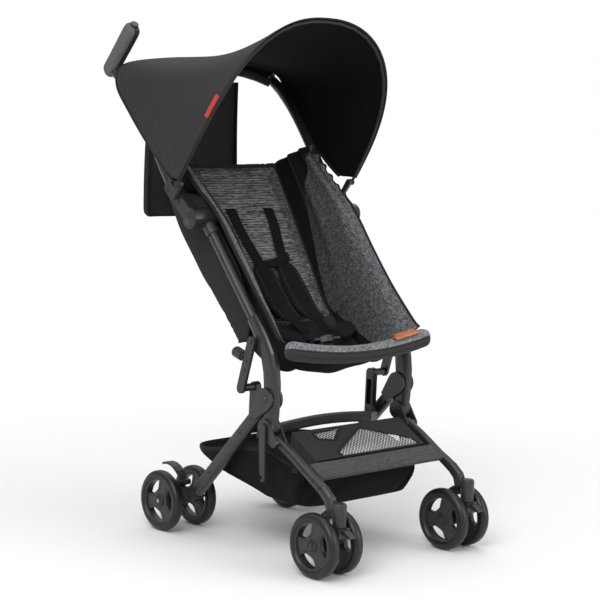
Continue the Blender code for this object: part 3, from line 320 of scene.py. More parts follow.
def lathe(name, profile, centre, axis, count, *finishes):
    """A closed turned solid: profile pairs of radius and place along the axis."""
    axis = Vector(axis).normalized()
    side = Vector((0, 0, 1)) if abs(axis.z) < 0.9 else Vector((1, 0, 0))
    side = (side - axis * side.dot(axis)).normalized()
    up = axis.cross(side)
    points = []
    for r, d in profile:
        for i in range(count):
            angle = 2 * math.pi * i / count
            points.append(Vector(centre) + axis * d + side * r * math.cos(angle) + up * r * math.sin(angle))
    return mesh_object(name, points, tube_faces(len(profile), count), *finishes)


WELD = 0.00001


def add_mask(made, label, values):
    """A value for each point of a mesh, read by its finish."""
    mask = made.data.attributes.new(label, "FLOAT", "POINT")
    mask.data.foreach_set("value", np.array(values, dtype=np.float32).ravel())


def flat_area(made):
    return sum(polygon.area for polygon in made.data.polygons)


def cloth_grid(name, grid, thickness, face, lining=None, masks=None, welded=False):
    """A sheet of cloth over rows of points, with its own UV map in metres and a lining on its back."""
    rows, columns = len(grid), len(grid[0])
    points = [p for row in grid for p in row]
    faces = [(i * columns + j, i * columns + j + 1, (i + 1) * columns + j + 1, (i + 1) * columns + j)
             for i in range(rows - 1) for j in range(columns - 1)]
    made = mesh_object(name, points, faces, face, recalc=False)
    if lining:
        made.data.materials.append(lining)
    across, down = grid_lengths(grid)
    layer = made.data.uv_layers.new(name="cloth")
    for polygon in made.data.polygons:
        for corner in polygon.loop_indices:
            i, j = divmod(made.data.loops[corner].vertex_index, columns)
            layer.data[corner].uv = (across[i][j], down[i][j])
    for label, values in (masks or {}).items():
        add_mask(made, label, values)
    if welded:
        rework(made.data, lambda work: bmesh.ops.remove_doubles(work, verts=work.verts, dist=WELD),
               lambda work: bmesh.ops.dissolve_degenerate(work, edges=work.edges, dist=WELD))
    made["flat_area"] = flat_area(made)
    wall = thicken(made, thickness)
    if lining:
        wall.material_offset = wall.material_offset_rim = 1
    return apply_all(made)


def looks_away(grid, spot):
    """Whether the front of a grid of points looks away from a point."""
    i, j = len(grid) // 2, len(grid[0]) // 2
    normal = (grid[i][j + 1] - grid[i][j]).cross(grid[i + 1][j] - grid[i][j])
    return normal.dot(Vector(spot) - grid[i][j]) <= 0


def facing_towards(grid, spot):
    """The same grid, its rows turned round where needed so that its front looks at a point."""
    return [row[::-1] for row in grid] if looks_away(grid, spot) else grid


def surface_of(made):
    """A tree of an object's faces, for laying trim on it."""
    mesh = made.data
    return BVHTree.FromPolygons([v.co.copy() for v in mesh.vertices],
                                [tuple(f.vertices) for f in mesh.polygons])


def laid_on(tree, points, lift):
    """The points moved to a surface and lifted off it, and the surface's normals there."""
    spots, normals = [], []
    for p in points:
        place, normal, _, _ = tree.find_nearest(p)
        spots.append(place + normal * lift)
        normals.append(normal)
    return spots, normals


def grid_lengths(grid):
    """Lengths across and down a grid of points, in metres."""
    rows, columns = len(grid), len(grid[0])
    across = np.zeros((rows, columns))
    down = np.zeros((rows, columns))
    middle = columns // 2
    for i in range(rows):
        for j in range(1, columns):
            across[i][j] = across[i][j - 1] + (grid[i][j] - grid[i][j - 1]).length
        across[i] -= across[i][middle]
    for j in range(columns):
        for i in range(1, rows):
            down[i][j] = down[i - 1][j] + (grid[i][j] - grid[i - 1][j]).length
    return across, down


def ribbon(name, line, facing, section, *finishes, closed=False):
    """Carries a flat section along a line, its flat side towards the facing given for each point."""
    line = [Vector(p) for p in line]
    points = []
    last = len(line) - 1
    side = None
    for i, p in enumerate(line):
        before = line[i - 1] if i or closed else line[0]
        after = line[(i + 1) % len(line)] if i < last or closed else line[last]
        ahead = (after - before).normalized()
        if facing:
            up = Vector(facing[i])
            side = ahead.cross(up).normalized()
        elif side is None:
            side = ahead.cross(Vector((0, 0.2, 1))).normalized()
        else:
            side = (side - ahead * side.dot(ahead)).normalized()
        up = side.cross(ahead)
        points += [p + side * a + up * b for a, b in section]
    return mesh_object(name, points, tube_faces(len(line), len(section), closed), *finishes)


# Node trees

def add_socket(tree, label, kind, value=None, way="INPUT"):
    made = tree.interface.new_socket(label, in_out=way, socket_type=f"NodeSocket{kind}")
    if value is not None:
        made.default_value = value


def place_node(tree, kind, sockets=None, **settings):
    """Adds a node; a socket's value is either a constant or another node's output."""
    made = tree.nodes.new(kind)
    for key, value in settings.items():
        setattr(made, key, value)
    for key, value in (sockets or {}).items():
        if isinstance(value, bpy.types.NodeSocket):
            tree.links.new(value, made.inputs[key])
        else:
            made.inputs[key].default_value = value
    return made


def computed(tree, operation, *values):
    """The result of a maths node on constants or other nodes' outputs."""
    return place_node(tree, "ShaderNodeMath", dict(enumerate(values)), operation=operation).outputs[0]


def built_once(name):
    """Marks a function that builds the node group of this name, on its first use only."""
    def mark(build):
        return lambda: bpy.data.node_groups.get(name) or build(name)
    return mark


# Geometry node trees for what repeats

def growing_tree(name, **sizes):
    """A tree that takes geometry, named sizes and a finish, with the outputs of its first node."""
    tree = bpy.data.node_groups.new(name, "GeometryNodeTree")
    add_socket(tree, "Geometry", "Geometry")
    for label, value in sizes.items():
        add_socket(tree, label.replace("_", " "), "Float", value)
    add_socket(tree, "Finish", "Material")
    add_socket(tree, "Geometry", "Geometry", way="OUTPUT")
    return tree, tree.nodes.new("NodeGroupInput").outputs


def placed_along(tree, points, instance, way):
    """Instances on points, each with its Z axis turned along its own vector."""
    turned = place_node(tree, "FunctionNodeAlignRotationToVector", {"Vector": way}, axis="Z")
    laid = place_node(tree, "GeometryNodeInstanceOnPoints", {"Points": points, "Instance": instance,
        "Rotation": turned.outputs["Rotation"]})
    return laid.outputs["Instances"]


def finished(tree, geometry, finish):
    """Ends a tree with its geometry made real and given its finish."""
    real = place_node(tree, "GeometryNodeRealizeInstances", {"Geometry": geometry})
    dressed = place_node(tree, "GeometryNodeSetMaterial",
                         {"Geometry": real.outputs["Geometry"], "Material": finish})
    place_node(tree, "NodeGroupOutput", {"Geometry": dressed.outputs["Geometry"]})
    return tree


@built_once("stitches")
def stitch_tree(name):
    """Thread stitches laid one after another along a line."""
    tree, start = growing_tree(name, Spacing=0.004, Stitch_Length=0.0028, Thread_Radius=0.0004)
    line = place_node(tree, "GeometryNodeMeshToCurve", {"Mesh": start["Geometry"]})
    spread = place_node(tree, "GeometryNodeResampleCurve",
                        {"Curve": line.outputs["Curve"], "Length": start["Spacing"]}, mode="LENGTH")
    thread = place_node(tree, "GeometryNodeMeshCylinder", {"Vertices": 6, "Radius": start["Thread Radius"],
        "Depth": start["Stitch Length"]})
    tangent = place_node(tree, "GeometryNodeInputTangent")
    laid = placed_along(tree, spread.outputs["Curve"], thread.outputs["Mesh"], tangent.outputs["Tangent"])
    return finished(tree, laid, start["Finish"])


@built_once("fasteners")
def fastener_tree(name):
    """Rivet or screw heads on points, each facing along its own vector."""
    tree, start = growing_tree(name, Head_Radius=0.0034, Head_Height=0.0012, Recess_Radius=0.0014)
    edge, recess = start["Head Radius"], start["Recess Radius"]
    cones = []
    for count, top, base in ((20, computed(tree, "MULTIPLY", edge, 0.72), edge), (6, recess, recess)):
        cone = place_node(tree, "GeometryNodeMeshCone",
                          {"Vertices": count, "Radius Top": top, "Radius Bottom": base,
                           "Depth": start["Head Height"]})
        cones.append(cone.outputs["Mesh"])
    lifted = place_node(tree, "GeometryNodeTransform", {"Geometry": cones[1], "Translation": (0, 0, 0.00025)})
    both = place_node(tree, "GeometryNodeJoinGeometry", {"Geometry": cones[0]})
    tree.links.new(lifted.outputs["Geometry"], both.inputs["Geometry"])
    facing = place_node(tree, "GeometryNodeInputNamedAttribute", {"Name": "facing"}, data_type="FLOAT_VECTOR")
    laid = placed_along(tree, start["Geometry"], both.outputs["Geometry"], facing.outputs["Attribute"])
    return finished(tree, laid, start["Finish"])


@built_once("net_threads")
def thread_tree(name):
    """Round threads along every edge of a flat pattern."""
    tree, start = growing_tree(name, Thread_Radius=0.0005)
    line = place_node(tree, "GeometryNodeMeshToCurve", {"Mesh": start["Geometry"]})
    ring = place_node(tree, "GeometryNodeCurvePrimitiveCircle",
                      {"Resolution": 4, "Radius": start["Thread Radius"]})
    tube = place_node(tree, "GeometryNodeCurveToMesh",
                      {"Curve": line.outputs["Curve"], "Profile Curve": ring.outputs["Curve"],
                       "Fill Caps": True})
    return finished(tree, tube.outputs["Mesh"], start["Finish"])


def grow(name, points, edges, tree, values, facing=None):
    """Runs a tree on bare points or edges and keeps the plain mesh that it makes."""
    mesh = bpy.data.meshes.new(name)
    mesh.from_pydata([tuple(p) for p in points], edges, [])
    if facing:
        layer = mesh.attributes.new("facing", "FLOAT_VECTOR", "POINT")
        layer.data.foreach_set("vector", [c for v in facing for c in v])
    made = link_object(name, mesh)
    change = made.modifiers.new("Grow", "NODES")
    change.node_group = tree
    for socket in tree.interface.items_tree:
        if socket.in_out == "INPUT" and socket.name in values:
            change[socket.identifier] = values[socket.name]
    apply_all(made)
    shade(made.data)
    return made


def stitches(name, lines, finish, spacing=0.0042, length=0.0028, radius=0.00038):
    points, edges = [], []
    for line in lines:
        first = len(points)
        points += list(line)
        edges += [(first + i, first + i + 1) for i in range(len(line) - 1)]
    values = {"Spacing": spacing, "Stitch Length": length, "Thread Radius": radius, "Finish": finish}
    return grow(name, points, edges, stitch_tree(), values)


# Parts of shaders

def noise(tree, vector, scale, detail, **more):
    sockets = {"Vector": vector, "Scale": scale, "Detail": detail, **more}
    return place_node(tree, "ShaderNodeTexNoise", sockets).outputs["Fac"]


def spanned(tree, value, span=(0.0, 1.0), to=(0.0, 1.0), **settings):
    """A value whose span is stretched to another one."""
    sockets = {"Value": value, "From Min": span[0], "From Max": span[1], "To Min": to[0], "To Max": to[1]}
    return place_node(tree, "ShaderNodeMapRange", sockets, **settings).outputs[0]


def split_axes(tree, vector):
    return place_node(tree, "ShaderNodeSeparateXYZ", {0: vector}).outputs


def stretched(tree, vector, scales):
    return place_node(tree, "ShaderNodeVectorMath", {0: vector, 1: scales}, operation="MULTIPLY").outputs[0]


def attribute(tree, name):
    return place_node(tree, "ShaderNodeAttribute", attribute_name=name).outputs["Fac"]


def mixed(tree, factor, a, b):
    """A colour between two others."""
    return place_node(tree, "ShaderNodeMix", {"Factor": factor, "A": a, "B": b},
                      data_type="RGBA").outputs["Result"]


def two_tone(tree, mask, low, high, low_at=0.3, high_at=0.7):
    """A colour between two tones by a mask."""
    ramp = place_node(tree, "ShaderNodeValToRGB", {"Fac": mask})
    for element, tone, place in zip(ramp.color_ramp.elements, (low, high), (low_at, high_at)):
        element.position = place
        element.color = (*tone, 1)
    return ramp.outputs["Color"]


def relief(tree, height, distance, strength=1.0, under=None):
    """The normal of a bump, laid over another relief where one is given."""
    sockets = {"Height": height, "Distance": distance, "Strength": strength}
    if under is not None:
        sockets["Normal"] = under
    return place_node(tree, "ShaderNodeBump", sockets).outputs["Normal"]


# Shader groups that several finishes share

def shader_group(name, size, value, *masks):
    """A group that takes a place and one named size, and puts out masks."""
    tree = bpy.data.node_groups.new(name, "ShaderNodeTree")
    add_socket(tree, "Vector", "Vector")
    add_socket(tree, size, "Float", value)
    for mask in masks:
        add_socket(tree, mask, "Float", way="OUTPUT")
    return tree, tree.nodes.new("NodeGroupInput").outputs, tree.nodes.new("NodeGroupOutput").inputs


@built_once("fine_grain")
def grain_group(name):
    """Fine moulded or sprayed grain, with slow patches where the gloss changes."""
    tree, start, end = shader_group(name, "Grains per Metre", 1800.0, "Height", "Patches")
    tree.links.new(noise(tree, start["Vector"], start["Grains per Metre"], 2.0), end["Height"])
    tree.links.new(noise(tree, start["Vector"], 38.0, 4.0), end["Patches"])
    return tree


@built_once("plain_weave")
def weave_group(name):
    """Plain weave: warp and weft threads that pass over and under each other."""
    tree, start, end = shader_group(name, "Threads per Metre", 900.0, "Height", "Yarn", "Creases")
    scaled = place_node(tree, "ShaderNodeVectorMath",
                        {0: start["Vector"], "Scale": start["Threads per Metre"]}, operation="SCALE")
    axes = split_axes(tree, scaled.outputs[0])
    waves = [computed(tree, "SINE", computed(tree, "MULTIPLY", axes[axis], math.pi)) for axis in "XY"]
    height = computed(tree, "MULTIPLY_ADD", computed(tree, "MULTIPLY", *waves), 0.5, 0.5)
    threads = [noise(tree, stretched(tree, start["Vector"], scales), 1.0, 2.0)
               for scales in ((260.0, 2200.0, 800.0), (2200.0, 260.0, 800.0))]
    tree.links.new(height, end["Height"])
    tree.links.new(computed(tree, "MAXIMUM", *threads), end["Yarn"])
    tree.links.new(noise(tree, start["Vector"], 16.0, 3.0, Distortion=0.6), end["Creases"])
    return tree


@built_once("floor_dust")
def dust_group(name):
    """Pale dust that thickens towards the floor and breaks up into specks."""
    tree, start, end = shader_group(name, "Reach", 0.09, "Mask")
    low = spanned(tree, split_axes(tree, start["Vector"])["Z"], (0.0, start["Reach"]), (1.0, 0.0))
    specks = spanned(tree, noise(tree, start["Vector"], 240.0, 5.0), (0.45, 0.72))
    tree.links.new(computed(tree, "MULTIPLY", low, specks), end["Mask"])
    return tree


def set_inputs(made, values):
    for key, value in values.items():
        made.inputs[key.replace("_", " ")].default_value = value


def group_in(tree, group, vector, **values):
    """Places a shader group with its own values."""
    made = tree.nodes.new("ShaderNodeGroup")
    made.node_tree = group
    tree.links.new(vector, made.inputs["Vector"])
    set_inputs(made, values)
    return made.outputs


# Finishes

def new_finish(name, colour, **values):
    finish = bpy.data.materials.new(name)
    finish.use_nodes = True
    finish.diffuse_color = (*colour, 1)
    tree = finish.node_tree
    shader = tree.nodes["Principled BSDF"]
    set_inputs(shader, values)
    return finish, tree, shader


def object_place(tree):
    return tree.nodes.new("ShaderNodeTexCoord").outputs["Object"]


def cloth_place(tree):
    return place_node(tree, "ShaderNodeUVMap", uv_map="cloth").outputs["UV"]


def set_surface(tree, shader, colour, normal=None):
    tree.links.new(colour, shader.inputs["Base Color"])
    if normal is not None:
        tree.links.new(normal, shader.inputs["Normal"])


def rough_from(tree, shader, mask, low, high):
    tree.links.new(spanned(tree, mask, to=(low, high)), shader.inputs["Roughness"])


def hard_finish(name, base, lift, rough, metallic, grains, depth, dust=None, coat=0.0):
    """Moulded plastic, powder coat or rubber: grain, patchy gloss and floor dust."""
    finish, tree, shader = new_finish(name, base, Metallic=metallic, Specular_IOR_Level=0.45)
    if coat:
        set_inputs(shader, {"Coat Weight": coat, "Coat Roughness": 0.35})
    place = object_place(tree)
    grain = group_in(tree, grain_group(), place, Grains_per_Metre=grains)
    tone = two_tone(tree, grain["Patches"], base, lift)
    if dust:
        mask = group_in(tree, dust_group(), place, Reach=dust)["Mask"]
        tone = mixed(tree, mask, tone, (*[min(1.0, c * 1.8 + 0.006) for c in base], 1))
    set_surface(tree, shader, tone, relief(tree, grain["Height"], depth, 0.6))
    rough_from(tree, shader, grain["Patches"], rough - 0.06, rough + 0.08)
    return finish


def cloth_finish(name, base, lift, threads, depth, by_uv=True, creases=0.0, sheen=0.15):
    """Woven cloth: threads in relief, yarn that varies in tone, and slow creases."""
    finish, tree, shader = new_finish(name, base, Roughness=0.92, Sheen_Weight=sheen, Sheen_Roughness=0.5,
                                      Specular_IOR_Level=0.08)
    place = cloth_place(tree) if by_uv else object_place(tree)
    weave = group_in(tree, weave_group(), place, Threads_per_Metre=threads)
    under = None
    if creases:
        under = relief(tree, group_in(tree, weave_group(), object_place(tree))["Creases"], creases)
    tone = two_tone(tree, weave["Yarn"], base, lift, 0.42, 0.72)
    set_surface(tree, shader, tone, relief(tree, weave["Height"], depth, 0.7, under))
    return finish


def melange_finish(name, base, lift, by_uv=False, stretch=1.0, span=(0.44, 0.70), creases=0.0, painted_rib_shade=False):
    """Melange cloth: pale fibres spun into dark yarn, so that it looks flecked, over a plain weave."""
    finish = cloth_finish(name, base, lift, 620.0, 0.0006, by_uv=by_uv, creases=creases, sheen=0.10)
    tree = finish.node_tree
    place = cloth_place(tree) if by_uv else object_place(tree)
    drawn = stretched(tree, place, (stretch, 1.0, 1.0))
    cloud = spanned(tree, noise(tree, drawn, 110.0, 2.0), to=(-0.12, 0.12))
    mask = computed(tree, "ADD", noise(tree, drawn, 430.0, 4.0, Roughness=0.75), cloud)
    # painted shade and highlight: the grooves between the ribs darker, the rib tops lighter
    if painted_rib_shade:
        mask = computed(tree, "ADD", mask, spanned(tree, attribute(tree, "rib_height"), to=(-0.10, 0.10)))
    set_surface(tree, tree.nodes["Principled BSDF"], two_tone(tree, mask, base, lift, *span))
    return finish


def parted_finish(name, base, lift, other, by_uv, span=(0.44, 0.70)):
    """Melange cloth that gives way to plain black cloth where the piece is marked black, which on the wings
    is partly painted shade, and darkens towards it by a mask of painted shade.
    """
    finish = melange_finish(name, base, lift, by_uv=by_uv, creases=0.0010 if by_uv else 0.0, span=span)
    tree = finish.node_tree
    shader = tree.nodes["Principled BSDF"]
    tone = shader.inputs["Base Color"].links[0].from_socket
    # plain black cloth; on the wings part of this black is painted shade
    tone = mixed(tree, spanned(tree, attribute(tree, "black_cloth_and_shade"), (0.45, 0.55)), tone, (*other, 1))
    # painted shade: the cloth darkens towards the plain black where the wing dips towards the backrest and in
    # its fold valleys
    set_surface(tree, shader, mixed(tree, attribute(tree, "painted_shade"), tone, (*other, 1)))
    return finish


CORD_PITCH = 0.0022


def webbing_finish(name, base, lift, axis):
    """Ribbed woven band: cords that run along the piece."""
    finish, tree, shader = new_finish(name, base, Roughness=0.85, Specular_IOR_Level=0.08)
    place = object_place(tree)
    wave = computed(tree, "SINE", computed(tree, "MULTIPLY", split_axes(tree, place)[axis],
                                           2 * math.pi / CORD_PITCH))
    yarn = group_in(tree, weave_group(), place, Threads_per_Metre=700.0)["Yarn"]
    tone = two_tone(tree, yarn, base, lift, 0.45, 0.7)
    set_surface(tree, shader, tone, relief(tree, computed(tree, "ADD", wave, yarn), 0.0004, 0.8))
    return finish


def leather_finish():
    finish, tree, shader = new_finish("tan_leather", (0.36, 0.11, 0.035), Roughness=0.55)
    place = object_place(tree)
    cells = place_node(tree, "ShaderNodeTexVoronoi", {"Vector": place, "Scale": 900.0})
    tone = two_tone(tree, noise(tree, place, 120.0, 4.0), (0.27, 0.075, 0.022), (0.46, 0.16, 0.055))
    set_surface(tree, shader, tone, relief(tree, cells.outputs["Distance"], 0.0003, 0.5))
    return finish


def grip_finish():
    """The grip: dark moulded core with a soft grey panel on its outer side."""
    finish, tree, shader = new_finish("grip_two_tone", (0.16, 0.16, 0.165))
    place = object_place(tree)
    outer = spanned(tree, computed(tree, "ABSOLUTE", split_axes(tree, place)["X"]), (0.2118, 0.2126))
    grain = group_in(tree, grain_group(), place, Grains_per_Metre=1500.0)["Height"]
    panel = two_tone(tree, grain, (0.062, 0.064, 0.066), (0.105, 0.107, 0.110))
    tone = mixed(tree, outer, (0.022, 0.024, 0.024, 1), panel)
    set_surface(tree, shader, tone, relief(tree, grain, 0.0003, 0.7))
    rough_from(tree, shader, outer, 0.5, 0.8)
    return finish


def toned(tone, share):
    return tuple(c * share for c in tone)


# Name, dark and light tone, roughness, metal, grains per metre, depth of grain and reach of floor dust
HARD_FINISHES = {
    "plastic": ("moulded_plastic", (0.0175, 0.0188, 0.0188), (0.0280, 0.0297, 0.0297),
                0.36, 0, 2000, 0.00018),
    "gloss": ("polished_plastic", (0.014, 0.015, 0.015), (0.020, 0.021, 0.021), 0.28, 0, 1200, 0.00008),
    "tyre": ("tyre_rubber", (0.0045, 0.0048, 0.0048), (0.0085, 0.0088, 0.0088),
             0.36, 0, 1500, 0.00025, 0.035),
    "hub": ("hub_plastic", (0.0135, 0.0146, 0.0143), (0.0215, 0.0230, 0.0224), 0.32, 0, 1800, 0.00015, 0.05),
    "frame_black": ("black_spring_steel", (0.010, 0.010, 0.010), (0.016, 0.016, 0.016),
                    0.6, 0, 1500, 0.00008),
    "steel": ("zinc_plate", (0.34, 0.34, 0.35), (0.42, 0.42, 0.43), 0.32, 1, 900, 0.00006),
    "thread": ("sewing_thread", (0.05, 0.05, 0.052), (0.08, 0.08, 0.083), 0.8, 0, 3000, 0.0001),
    "net": ("net_thread", (0.40, 0.40, 0.39), (0.58, 0.58, 0.57), 0.85, 0, 2500, 0.0002),
}
# Name, dark and light tone, threads per metre, their depth, whether by UV map, depth of creases and sheen
CLOTH_FINISHES = {
    "lining": ("canopy_lining", (0.0035, 0.0035, 0.0037), (0.0070, 0.0070, 0.0074),
               1100, 0.0002, True, 0, 0.01),
    "plain": ("plain_cloth", (0.0060, 0.0060, 0.0063), (0.0130, 0.0130, 0.0137),
              1000, 0.0003, True, 0.0012, 0.02),
    "outer": ("outer_cloth", (0.020, 0.020, 0.021), (0.036, 0.037, 0.038), 1000, 0.0003, True, 0.0010, 0.03),
    "outer_solid": ("outer_cloth_solid", (0.020, 0.020, 0.021), (0.036, 0.037, 0.038),
                    1000, 0.0003, False, 0.0010, 0.03),
    "strap_pad": ("strap_pad_cloth", (0.0040, 0.0040, 0.0042), (0.0090, 0.0090, 0.0095),
                  1000, 0.0003, False, 0.0006, 0.02),
    "binding": ("binding_tape", (0.012, 0.012, 0.013), (0.022, 0.022, 0.024), 1300, 0.0003, False, 0, 0.05),
    "tab": ("red_tab", (0.36, 0.020, 0.018), (0.52, 0.045, 0.040), 1400, 0.0002, False, 0, 0.15),
}


class Finishes:
    """Every finish of the stroller, made once."""

    def __init__(self, colours):
        frame, cloth, melange = (tuple(colour) for colour in (colours.frame, colours.cloth, colours.melange))
        for field, values in HARD_FINISHES.items():
            setattr(self, field, hard_finish(*values))
        for field, values in CLOTH_FINISHES.items():
            setattr(self, field, cloth_finish(*values))
        self.alloy = hard_finish("satin_alloy", frame, toned(frame, 1.35), 0.33, 0.25, 2600, 0.0001,
                                 coat=0.32)
        self.canopy = cloth_finish("canopy_cloth", cloth, toned(cloth, 1.9), 1100, 0.00025, True, 0.0018,
                                   0.05)
        self.canopy_edge = cloth_finish("canopy_edge", cloth, toned(cloth, 1.5), 1100, 0.0002, False, 0, 0.02)
        self.quilt = melange_finish("quilted_melange", melange, toned(melange, 8.4), stretch=0.14,
                                    span=(0.46, 0.68), painted_rib_shade=True)
        # the wing's plain black tone is its black cloth and also its painted shade
        self.wing = parted_finish("wing_cloth", melange, toned(melange, 12.6), (0.0050, 0.0050, 0.0054), True)
        self.lip = parted_finish("lip_cloth", toned(melange, 1.7), toned(melange, 13.0),
                                 (0.030, 0.031, 0.032), False, (0.40, 0.64))
        self.webbing = webbing_finish("harness_webbing", (0.0050, 0.0050, 0.0053), (0.0110, 0.0110, 0.0117),
                                      "X")
        self.band = webbing_finish("foot_band", (0.020, 0.020, 0.0205), (0.150, 0.153, 0.155), "Y")
        self.leather = leather_finish()
        self.grip = grip_finish()


def finishes():
    """The finishes, built on first use."""
    if not hasattr(finishes, "made"):
        finishes.made = Finishes(bpy.context.scene.stroller_colours)
    return finishes.made


# Settings shown in the sidebar

class StrollerColours(PropertyGroup):
    frame: FloatVectorProperty(name="Frame", description="Powder coat of the tubes and legs", subtype="COLOR",
                               size=3, min=0, max=1, default=(0.0165, 0.0182, 0.0176))
    cloth: FloatVectorProperty(name="Canopy", description="Plain cloth of the canopy", subtype="COLOR",
                               size=3, min=0, max=1, default=(0.0215, 0.0215, 0.0225))
    melange: FloatVectorProperty(name="Seat", description="Dark yarn of the seat's melange cloth",
                                 subtype="COLOR", size=3, min=0, max=1, default=(0.0235, 0.024, 0.0255))


class StrollerSizes(PropertyGroup):
    canopy_wall: FloatProperty(name="Canopy cloth", description="Thickness of the canopy's cloth",
                               unit="LENGTH", default=0.0014, min=0.0005, max=0.003)
    seat_wall: FloatProperty(name="Seat cloth", description="Thickness of the seat's side cloth",
                             unit="LENGTH", default=0.0030, min=0.001, max=0.006)
    net_pitch: FloatProperty(name="Net pitch", description="Distance between threads of the basket's net",
                             unit="LENGTH", default=0.0040, min=0.002, max=0.01)
    stitch_pitch: FloatProperty(name="Stitch pitch", description="Distance from one stitch to the next",
                                unit="LENGTH", default=0.0042, min=0.002, max=0.01)
    pad_steps: IntProperty(name="Cloth steps",
                           description="Steps of the cloth simulation that fills the pads", default=18, min=1,
                           max=60)


# Wheels

def wheel_window(middle, count=9):
    """One rounded window of the hub, as points round its outline."""
    outer, half = 0.0412, math.radians(35)
    loop = []
    for k in range(count):
        angle = middle - half + 2 * half * k / (count - 1)
        loop.append((outer * math.cos(angle), outer * math.sin(angle)))
    for share, reach in ((0.93, 0.80), (0.80, 0.62), (0.52, 0.54), (0.0, 0.51), (-0.52, 0.54), (-0.80, 0.62),
                         (-0.93, 0.80)):
        angle = middle + half * share
        loop.append((outer * reach * math.cos(angle), outer * reach * math.sin(angle)))
    return [Vector((*p, 0)) for p in loop]


def hub_plate(name, finish):
    """The hub's pierced plate, made from a filled outline with rounded edges."""
    shape = bpy.data.curves.new(name, "CURVE")
    shape.dimensions = "2D"
    shape.fill_mode = "BOTH"
    shape.extrude = 0.0042
    shape.bevel_depth = 0.0012
    shape.bevel_resolution = 2
    shape.offset = -0.0012
    loops = [[Vector((*p, 0)) for p in circle(RIM_RADIUS, 48)]]
    loops += [wheel_window(2 * math.pi * i / SPOKES + WINDOW_TURN) for i in range(SPOKES)]
    for loop in loops:
        line = shape.splines.new("POLY")
        line.points.add(len(loop) - 1)
        for k, p in enumerate(loop):
            line.points[k].co = (*p, 1)
        line.use_cyclic_u = True
    holder = link_object(name, shape)
    graph = bpy.context.evaluated_depsgraph_get()
    mesh = bpy.data.meshes.new_from_object(holder.evaluated_get(graph))
    bpy.data.objects.remove(holder)
    mesh.transform(Matrix(((0, 0, 1, 0), (1, 0, 0, 0), (0, 1, 0, 0), (0, 0, 0, 1))))
    rework(mesh, lambda work: bmesh.ops.remove_doubles(work, verts=work.verts, dist=2 * WELD), face_outwards)
    mesh.materials.clear()
    mesh.materials.append(finish)
    shade(mesh, 50)
    return link_object(name, mesh)


def tyre_profile():
    """Half round tyre with a flat tread and a step where it meets the rim."""
    half = WHEEL_WIDTH / 2
    inner = RIM_RADIUS - 0.0016
    side = [(inner, half - 0.0042), (RIM_RADIUS, half - 0.0030), (RIM_RADIUS + 0.0010, half - 0.0012),
            (RIM_RADIUS + 0.0026, half - 0.0002), (RIM_RADIUS + 0.0050, half),
            (WHEEL_RADIUS - 0.0062, half - 0.0006), (WHEEL_RADIUS - 0.0030, half - 0.0024),
            (WHEEL_RADIUS - 0.0010, half - 0.0048), (WHEEL_RADIUS - 0.0001, half - 0.0074)]
    return side + [(WHEEL_RADIUS, 0.0)] + [(r, -d) for r, d in side[::-1]]


def ring_solid(name, profile, count, finish):
    """A ring turned round the X axis from a closed profile."""
    points = [(d, r * c, r * s) for c, s in circle(1.0, count) for r, d in profile]
    return mesh_object(name, points, tube_faces(count, len(profile), closed=True), finish)


def wheel_master():
    """One wheel at the origin: tyre, rim, pierced hub, boss and axle cap."""
    f = finishes()
    tyre = ring_solid("tyre", tyre_profile(), 72, f.tyre)
    half = WHEEL_WIDTH / 2
    rim = ring_solid("rim", [(RIM_RADIUS - 0.0046, -half + 0.0048), (RIM_RADIUS - 0.0040, -half + 0.0034),
                             (RIM_RADIUS - 0.0004, -half + 0.0030), (RIM_RADIUS - 0.0004, half - 0.0030),
                             (RIM_RADIUS - 0.0040, half - 0.0034), (RIM_RADIUS - 0.0046, half - 0.0048)], 72,
                     f.hub)
    plate = hub_plate("plate", f.hub)
    parts = [tyre, rim, plate]
    for side in (-1, 1):
        parts.append(lathe("boss", [(0.0128, 0.0030), (0.0128, 0.0062), (0.0120, 0.0074), (0.0096, 0.0080),
                                    (0.0090, 0.0072), (0.0090, 0.0040)], (0, 0, 0), (side, 0, 0), 32, f.hub))
        parts.append(lathe("cap", [(0.0085, 0.0040), (0.0085, 0.0072), (0.0072, 0.0080), (0.0018, 0.0084),
                                   (0.0014, 0.0080)], (0, 0, 0), (side, 0, 0), 24, f.gloss))
        for i in range(SPOKES):
            angle = 2 * math.pi * (i + 0.5) / SPOKES + WINDOW_TURN
            spoke = Vector((0, math.cos(angle), math.sin(angle)))
            across = Vector((0, -spoke.z, spoke.y))
            low, high = 0.0130, RIM_RADIUS - 0.0048
            for edge in (-0.0098, 0.0098):
                line = [Vector((side * 0.0054, 0, 0)) + spoke * mix(low, high, k / 4) + across * edge
                        for k in range(5)]
                parts.append(ribbon("rib", line, [(1, 0, 0)] * 5, superellipse(0.0007, 0.0009, 8), f.hub))
    return join("wheel_master", parts)


class STROLLER_OT_wheels(Operator):
    """Build the eight wheels, each on its own axle"""

    bl_idname = "stroller.wheels"
    bl_label = "Wheels"

    def execute(self, context):
        master = wheel_master()
        front = (CASTER_X - CASTER_SPREAD, CASTER_X + CASTER_SPREAD)
        axles = (("front", front, CASTER_Y + CASTER_TRAIL), ("rear", REAR_WHEEL_X, REAR_AXLE_Y))
        for tag, side in SIDES.items():
            for end, spread, y in axles:
                for spot, x in zip(("inner", "outer"), spread):
                    node = f"wheel_{end}_{spot}_{tag}"
                    made = link_object(f"{node}_dressed", master.data.copy())
                    made.data.transform(Matrix.Translation((side * x, y, WHEEL_RADIUS)))
                    settle(made, node, (node,))
        bpy.data.objects.remove(master)
        return {"FINISHED"}


# Frame

FRAME_FINISHES = {
    "alloy": ("main_tube", "side_member", "upper_link", "lower_link", "rear_leg", "front_leg", "push_tube"),
    "plastic": ("hinge_housing", "canopy_clip", "rear_bar", "rear_axle_housing", "caster_housing",
                "caster_fork", "swivel_lock", "brake_pedal", "storage_latch", "fold_button", "lock_knob",
                "cross_band"),
    "gloss": ("harness_buckle", "buckle_button"),
    "steel": ("rear_axle",),
    "frame_black": ("canopy_bow",),
    "band": ("footrest_strip",),
}


